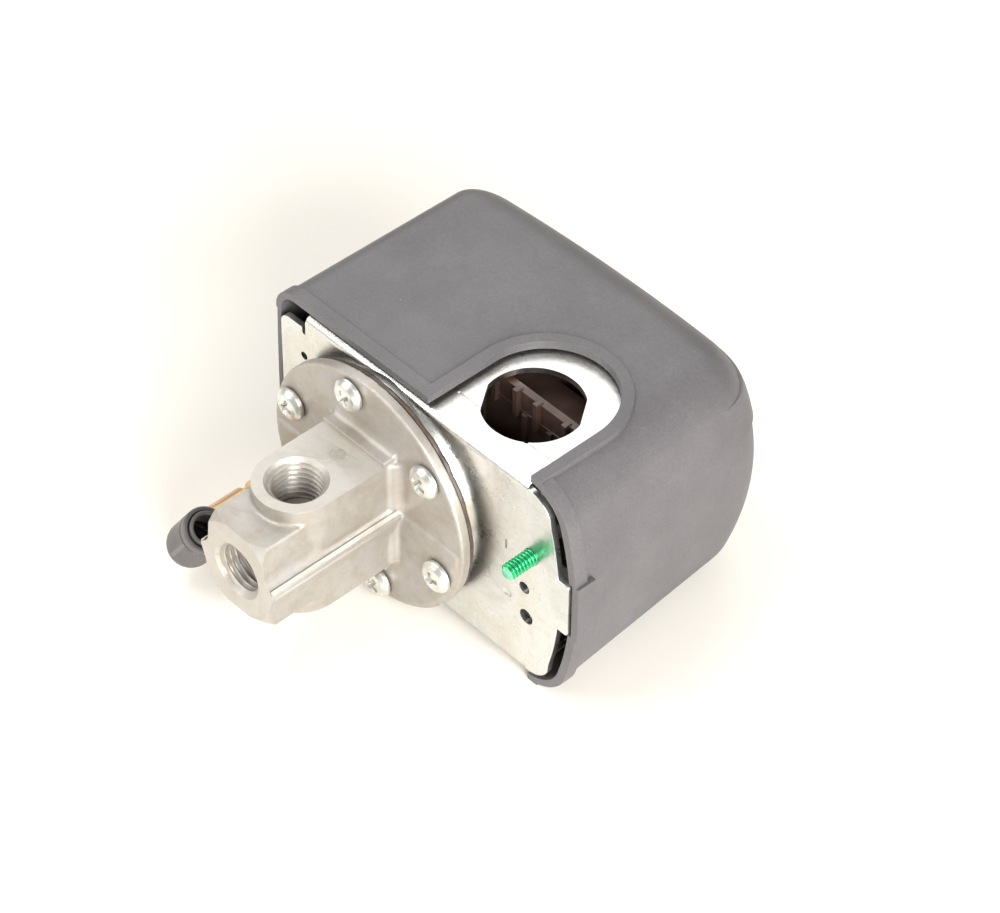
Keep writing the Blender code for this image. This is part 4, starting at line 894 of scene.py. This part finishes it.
def web_outline():
    """The plate's front, with relief notches where each flange bends away and a lower left end."""
    half, corner, corner_half = PLATE_HALF_Z, 6.5 * MM, PLATE_HALF_Z - 1.0 * MM
    bend, notch_x = half - 1.7 * MM, FLANGE_X[1] + 0.1 * MM
    reach = math.degrees(math.asin((corner_half - corner) / PLATE_SIDE_R))
    side = arc((PLATE_RIGHT_X - PLATE_SIDE_R, 0), PLATE_SIDE_R, -reach, reach, 30)
    corner_x = side[-1][0] - corner * math.cos(math.radians(reach))
    top = arc((corner_x, corner_half - corner), corner, reach, 90, 10)[1:]
    top += [(notch_x, corner_half), (notch_x, bend)]
    left_half, left_r, left_notch = half - LEFT_EAR_DROP, 2.6 * MM, half - LEFT_EAR_DROP - 1.7 * MM
    top += [(-36.1 * MM, bend), (-36.1 * MM, left_notch), (-37.1 * MM, left_notch), (-37.1 * MM, left_half)]
    top += arc((plate_low.x + left_r, left_half - left_r), left_r, 90, 180, 8)
    return [(x, z + MID_Z) for x, z in side + top + [(x, -z) for x, z in reversed(top)]]


def ear_outline():
    """One conduit ear seen from above."""
    radius, root = 6 * MM, PLATE_REAR_Y + 0.6 * MM
    return ([(EAR_X[0], root), (EAR_X[1], root)] + arc((EAR_X[1] - radius, EAR_REAR_Y - radius), radius, 0, 90, 10)
            + arc((EAR_X[0] + radius, EAR_REAR_Y - radius), radius, 90, 180, 10))


def conduit_outline():
    """A round hole with two flats."""
    flat = math.degrees(math.acos(CONDUIT_FLAT / CONDUIT_R))
    return arc(CONDUIT, CONDUIT_R, 35 + flat, 215 - flat, 36) + arc(CONDUIT, CONDUIT_R, 215 + flat, 395 - flat, 36)


def bent_flange(side):
    """The bend along one wide side of the plate."""
    outer, top, start = 2.0 * MM, PLATE_HALF_Z, PLATE_HALF_Z - 2.2 * MM
    centre = (PLATE_FRONT_Y + outer, top - outer)
    bend = [(PLATE_FRONT_Y + 0.01 * MM, start)] + arc(centre, outer, 180, 90, 10)
    bend += [(-3.5 * MM, top), (-3.5 * MM, top - SHEET)]
    bend += arc(centre, outer - SHEET, 90, 180, 6) + [(PLATE_REAR_Y - 0.01 * MM, start)]
    return softened([(y, side * z) for y, z in bend], *FLANGE_X, IN_YZ_MIDWAY, SHEET_EDGE)


def side_tab():
    """The tab on the right that locates the cover."""
    start, end = TAB_X
    outline = [(start, -TAB_HALF_Z), (end - MM, -TAB_HALF_Z)] + arc((end - MM, MM - TAB_HALF_Z), MM, -90, 0, 4)[1:]
    outline += arc((end - MM, TAB_HALF_Z - MM), MM, 0, 90, 4) + [(start, TAB_HALF_Z)]
    return softened([(x, z + MID_Z) for x, z in outline], PLATE_FRONT_Y + 0.02 * MM, PLATE_REAR_Y - 0.02 * MM,
            IN_XZ, SHEET_EDGE)


def base_plate():
    """Bent and embossed sheet steel."""
    plate = as_object("plate", softened(web_outline(), PLATE_FRONT_Y, PLATE_REAR_Y, IN_XZ, SHEET_EDGE))
    for side in (1, -1):
        skin = MID_Z + side * PLATE_HALF_Z
        low, high = sorted((skin - side * SHEET, skin))
        ear = softened(ear_outline(), low + 0.01 * MM, high - 0.01 * MM, IN_XY, SHEET_EDGE)
        line = block(mm(2.5, -3.6, -0.3), mm(31.5, -3.0, 0.3))
        join(plate, bent_flange(side), ear)
        cut(plate, moved(line, Matrix.Translation(Z * (skin - side * 0.01 * MM))),
            softened(conduit_outline(), low - MM, high + MM, IN_XY))
    join(plate, side_tab())
    rise, edge_r = PLATE_FRONT_Y - EMBOSS_FRONT_Y, 0.9 * MM
    boss = [(EMBOSS_R, SHEET), (EMBOSS_R, 0.3 * MM)] + arc((EMBOSS_R - edge_r, edge_r - rise), edge_r, 0, -90, 6)
    dish = [(25.6 * MM, SHEET - rise), (25.9 * MM, SHEET - rise + 0.4 * MM), (25.9 * MM, SHEET + MM)]
    at = (DISC_X, PLATE_FRONT_Y, MID_Z)
    join(plate, turned([(0, SHEET - 0.05 * MM)] + [(r, max(-rise, h)) for r, h in boss] + [(0, -rise)], at, Y, 120))
    cut(plate, turned(dish, at, Y, 96))
    for x, z, radius in plate_holes():
        cut(plate, along_y(radius, Vector((x, 0, z)), PLATE_FRONT_Y - 4 * MM, PLATE_REAR_Y + 2 * MM, 40))
    dimple = turned(mm((1.5, -0.2), (1.1, 0.2), (0, 0.55)), (26.8 * MM, PLATE_FRONT_Y, 22.6 * MM), Y, 24)
    slit = block((26.0 * MM, PLATE_FRONT_Y - MM, 35.2 * MM), (26.6 * MM, PLATE_FRONT_Y + 0.5 * MM, 38.0 * MM))
    cut(plate, dimple, slit)
    piece(plate, "switch_plate", "base", "base_plate", "zinc_plated_steel", 30)


def plate_holes():
    """Places and radii of the round holes, as the CAD plate has them."""
    plain = [(DISC_X, MID_Z, 8.8 * MM), (RANGE_X, MID_Z, 2.6 * MM), (DIFF_X, MID_Z, 1.8 * MM)]
    plain += mm((-38.4, 10.2, 3.3), (33.8, 38.5, 2.05), (31.9, 27.8, 1.5), (32.6, 19.6, 1.9), (-36.6, 46.4, 1.0))
    return plain + [(screw_axis(number).x, screw_axis(number).z, SCREW_HOLE_R) for number in range(6)]


# ---- release valve, elbow and earth screw

def valve():
    """The brass valve's barrel: a groove, spanner flats and a threaded end through the plate."""
    at = front_end("valve_body")
    radius = (valve_high.x - valve_low.x) / 2
    waist = radius - 0.8 * MM
    length = PLATE_FRONT_Y - 0.3 * MM - valve_low.y
    profile = [(0, 0), (radius - 0.4 * MM, 0), (radius, 0.4 * MM), (radius, length * 0.38), (waist, length * 0.41),
            (waist, length * 0.47), (radius, length * 0.50), (radius, length - 0.5 * MM), (radius - 0.5 * MM, length),
            (2.6 * MM, length), (2.6 * MM, length + 0.4 * MM), (0, length + 0.4 * MM)]
    body = as_object("valve", turned(profile, at, Y, 56))
    start = at + Y * (length - 0.1 * MM)
    join(body, threaded(2.95 * MM, 0.8 * MM, 0.45 * MM, valve_high.y - at.y - length, start, Y, 32, 8))
    cut(body, along_y(1.4 * MM, at, -MM, length + 20 * MM, 24))
    for side in (1, -1):
        low_x, high_x = mm(side * 8.2 - 4, side * 8.2 + 4)
        cut(body, block(at + Vector((low_x, length * 0.62, -8 * MM)), at + Vector((high_x, length * 0.92, 8 * MM))))
    piece(body, "valve_barrel", "base", "valve_body", "brass")


def elbow():
    """Push-in elbow with its rim groove and bores."""
    out = Vector((math.cos(ELBOW_TURN), 0, math.sin(ELBOW_TURN)))
    knuckle = Vector((middle("valve_body").x, ELBOW_Y, middle("valve_body").z))
    ball = bmesh.new()
    bmesh.ops.create_uvsphere(ball, u_segments=64, v_segments=40, radius=ELBOW_R, matrix=basis(knuckle, Y.cross(out)))
    lip = ELBOW_R - 0.02 * MM
    leg_length = valve_low.y - 0.3 * MM - knuckle.y
    leg = turned([(lip, 0), (lip, leg_length - 0.4 * MM), (ELBOW_R - 0.4 * MM, leg_length)], knuckle, Y, 64)
    groove = [(lip - sink * MM, ELBOW_REACH - back * MM) for sink, back in
            ((0, 2.6), (0.25, 2.4), (0.25, 2.1), (0, 1.9), (0, 0.35), (0.35, 0))]
    body = join(as_object("elbow", ball), leg, turned([(lip, 0)] + groove, knuckle, out, 64))
    mouth = turned(mm((4.1, 0), (4.1, 8.2), (4.45, 8.7), (4.6, 9.6)), knuckle + out * (ELBOW_REACH - 8.6 * MM), out)
    cut(body, mouth, *(rod(1.6 * MM, knuckle, knuckle + way, 24) for way in (out * ELBOW_REACH, Y * 9 * MM)))
    piece(body, "elbow_shell", "elbow", "elbow_body", "black_plastic", 34)
    release_ring(knuckle + out * (ELBOW_REACH - 4.2 * MM), out)


def release_ring(start, out):
    """The slit ring in the elbow's mouth that lets the tube go."""
    ring = mm((3.1, 0), (3.75, 0), (3.75, 3.6), (4.0, 4.1), (4.0, 4.9), (3.8, 5.1), (3.35, 5.1), (3.1, 4.8))
    collet = as_object("collet", turned_ring(ring, start, out, 56))
    for number in range(4):
        place = basis(start, out) @ Matrix.Rotation(number * math.pi / 2 + 0.4, 4, "Z")
        cut(collet, moved(block(mm(2.0, -0.25, -1), mm(5, 0.25, 2.6)), place))
    piece(collet, "release_ring", "collet_body", "release_collet", "grey_plastic")


def earth_screw():
    """The green screw, head inside the plate and its thread standing out in front."""
    low, high = extent("ground_screw")
    head_h, shank = 2.4 * MM, 1.95 * MM
    at = Vector((middle("ground_screw").x, high.y - head_h, middle("ground_screw").z))
    length = at.y - low.y
    head = [(0, -head_h), (2.6 * MM, -head_h * 0.96), (3.6 * MM, -head_h * 0.6)]
    head += mm((3.8, -0.3), (3.6, 0.0), (1.4, 0.0), (1.4, 0.5), (0, 0.5))
    screw = as_object("screw", turned(head, at, -Y))
    join(screw, threaded(shank, 0.87 * MM, 0.48 * MM, length - 0.1 * MM, at - Y * 0.1 * MM, -Y, 48, 14))
    outside = [(0, -head_h - MM), (5 * MM, -head_h - MM), (5 * MM, 0.2 * MM), (2.4 * MM, length - 1.3 * MM),
            (1.75 * MM, length - 0.5 * MM), (1.2 * MM, length - 0.05 * MM), (0, length)]
    keep_within(screw, turned(outside, at, -Y))
    cut(screw, *cross_recess(at + Y * head_h, -Y, 4.2 * MM, 1.1 * MM, 1.6 * MM, 0.5))
    piece(screw, "earth_screw", "base", "ground_screw", "green_plated_steel", 38)


# ---- works under the cover

def coil_point(at, radius, low, high, turns, share):
    """A point on a compression spring's centre line, its turns closer together near the ends."""
    eased = share - 0.245 * math.sin(2 * math.pi * share) / (2 * math.pi)
    angle = 2 * math.pi * turns * share
    return Vector((at.x + radius * math.cos(angle), low + (high - low) * eased, at.z + radius * math.sin(angle)))


def coil(name, at, radius, wire, low, high, turns, first=0.0, last=1.0):
    """A length of compression spring as one swept wire, from one share of its turns to another."""
    count = round(turns * 40 * (last - first))
    shares = [first + (last - first) * step / count for step in range(count + 1)]
    path = [coil_point(at, radius, low, high, turns, share) for share in shares]
    rings = []
    for index, here in enumerate(path):
        ahead = (path[min(index + 1, count)] - path[max(index - 1, 0)]).normalized()
        out = (here - Vector((at.x, here.y, at.z))).normalized()
        up = ahead.cross(out).normalized()
        out = up.cross(ahead)
        rings.append([here + (out * math.cos(a) + up * math.sin(a)) * wire for a in circle(12)])
    return as_object(name, skinned(rings))


def adjusting_spring(name, wire, turns, split):
    """A spring in two lengths, the foot towards the lever below it and the head towards the cap above it; neither
    length rides a body.
    """
    node, at = f"{name}_spring", middle(f"{name}_stud")
    box_low, box_high = extent(node)
    radius, low, high = (box_high.z - box_low.z) / 2 - wire, box_low.y + wire, box_high.y - wire
    joint_y = coil_point(at, radius, low, high, turns, split).y
    for part, span, bodies, ends in (("foot", (0.0, split), ("lever_body", "base"), (low, joint_y)),
            ("head", (split, 1.0), ("base", f"{name}_cap_body"), (joint_y, high))):
        length = coil(f"{name}_coil_{part}", at, radius, wire, low, high, turns, *span)
        piece(length, f"{name}_coil_{part}", None, node, "spring_steel", 60)
        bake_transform(length)


def contact_coil(name):
    node, wire = f"contact_spring_{name}", 0.3 * MM
    low, high = extent(node)
    spring = coil(f"contact_coil_{name}", middle(node), 1.6 * MM, wire, low.y + wire, high.y - wire, 4)
    piece(spring, f"contact_coil_{name}", "carrier_body", node, "spring_steel", 60)


def adjusting_post(name, radius, pitch, collar):
    """A stud riveted into the plate, with its collar and its thread."""
    at, top = front_end(f"{name}_stud"), extent(f"{name}_stud")[1].y
    seat_y = EMBOSS_FRONT_Y + SHEET + 0.3 * MM
    seat, neck = seat_y - at.y, radius * 0.85
    root = [(0, 0), (radius * 0.78, 0), (radius * 0.78, seat), (collar, seat), (collar, seat + 1.6 * MM),
            (neck, seat + 1.6 * MM), (neck, seat + 3 * MM), (0, seat + 3 * MM)]
    post = as_object("post", turned(root, at, Y, 40))
    start = Vector((at.x, seat_y + 1.5 * MM, at.z))
    join(post, threaded(radius, pitch, radius * 0.17, top - start.y, start, Y, 32, 6))
    piece(post, f"{name}_post", "base", f"{name}_stud", "zinc_plated_steel")


def spring_seat(name, bore):
    """The cap that presses on an adjusting spring."""
    node = f"{name}_cap"
    low, high = extent(node)
    at, radius, height = front_end(node), (high.x - low.x) / 2, high.y - low.y
    profile = [(radius - 0.3 * MM, 0), (radius, 0.3 * MM), (radius, 1.0 * MM), (radius * 0.82, 1.5 * MM),
            (radius * 0.7, height - 0.2 * MM), (radius * 0.66, height)]
    cap = cut(as_object("cap", turned(profile, at, Y)), along_y(bore, at, -MM, height + MM, 32))
    piece(cap, f"{name}_seat", f"{name}_cap_body", node, "zinc_plated_steel")


def terminal_screw(number):
    """A brass pan-head screw with a slot across its cross recess."""
    node, head_r, head_h = f"terminal_screw_{number}", 2.9 * MM, 1.9 * MM
    low, high = extent(node)
    at = Vector((middle(node).x, high.y - head_h, middle(node).z))
    screw = pan_head(at, -Y, head_r, head_h, 1.5 * MM, at.y - low.y, 0.7 * MM, 0.4 * number)
    place = basis(at + Y * head_h, -Y) @ Matrix.Rotation(0.4 * number, 4, "Z")
    cut(screw, moved(block((-head_r * 1.1, -0.42 * MM, -MM), (head_r * 1.1, 0.42 * MM, 0.75 * MM)), place))
    piece(screw, f"wire_screw_{number}", "base", node, "brass", 38)


def works():
    """Springs, studs, nuts, caps and terminal screws with their real detail."""
    adjusting_spring("range", 0.85 * MM, 8, 0.35)
    adjusting_spring("diff", 0.5 * MM, 6, 0.5)
    contact_coil("upper")
    contact_coil("lower")
    adjusting_post("range", 3.0 * MM, 1.0 * MM, 4.6 * MM)
    adjusting_post("diff", 2.0 * MM, 0.7 * MM, 3.6 * MM)
    for name, bore in (("range", 3.3 * MM), ("diff", 2.3 * MM)):
        nut_piece(f"{name}_hex", f"{name}_nut", f"{name}_nut_body", bore, "brass")
        spring_seat(name, bore)
    for number in range(1, 5):
        terminal_screw(number)
    nut_piece("valve_hex", "valve_nut", "base", 3.3 * MM, "brass")
    nut_piece("cap_nut", "cover_nut", "cover_nut_body", 3.3 * MM, "black_plastic", 0.16, 4.4 * MM)


def dress_cad():
    """Finishes for the CAD nodes that stay, with their edges eased."""
    slots = {row["node"]: row["material_slot"] for row in frame["record"]["subparts"]}
    for name, node in frame["nodes"].items():
        for index in range(len(node.material_slots)):
            node.material_slots[index].material = LOOKS[slots[name]]
        node.modifiers.new("weld", "WELD").merge_threshold = 0.01 * MM
        ease = node.modifiers.new("ease", "BEVEL")
        ease.width = 0.2 * MM
        ease.segments = 2
        ease.limit_method = "ANGLE"
        ease.angle_limit = math.radians(40)


# ---- stage and light

def stage():
    look = Look("floor_paper", 0.75)
    look.paint(look.cloud((6, 3), (0.3, (0.80, 0.765, 0.70)), (0.7, (0.84, 0.805, 0.74))))
    look.bump(look.noise(900, 2), 0.05, 0.0001)
    work = bmesh.new()
    half = 2.5
    work.faces.new([work.verts.new((a * half, b * half, 0)) for a, b in ((-1, -1), (1, -1), (1, 1), (-1, 1))])
    floor = as_object("floor", work)
    floor.data.materials.append(look.material)


def lamp(name, direction, distance, size, power):
    """A square soft light that looks at the switch from a direction."""
    data = bpy.data.lights.new(name, "AREA")
    data.shape = "SQUARE"
    data.size = size
    data.energy = power
    made = bpy.data.objects.new(name, data)
    bpy.context.scene.collection.objects.link(made)
    direction = Vector(direction).normalized()
    made.location = Vector((0, 0, MID_Z)) + direction * distance
    made.rotation_mode = "QUATERNION"
    made.rotation_quaternion = (-direction).to_track_quat("-Z", "Y")


def lights():
    world = bpy.data.worlds.new("studio")
    world.use_nodes = True
    sky = world.node_tree.nodes["Background"]
    sky.inputs["Color"].default_value = (1.0, 0.99, 0.97, 1.0)
    sky.inputs["Strength"].default_value = 0.5
    bpy.context.scene.world = world
    lamp("key", (1.0, -0.42, 0.45), 1.1, 0.7, 25)
    lamp("top", (-0.35, -0.25, 1.0), 1.0, 0.45, 3.4)
    lamp("back", (-0.55, 0.5, 0.7), 1.0, 0.8, 3.0)
    lamp("fill", (-0.6, -0.9, 0.6), 1.1, 0.4, 3)
    view = bpy.context.scene.view_settings
    view.view_transform = "Standard"
    view.look = "None"
    view.exposure = 0.0


for build in (dress_cad, cover, casting, flange_screws, diaphragm, base_plate, valve, elbow, earth_screw, works,
        stage, lights):
    build()
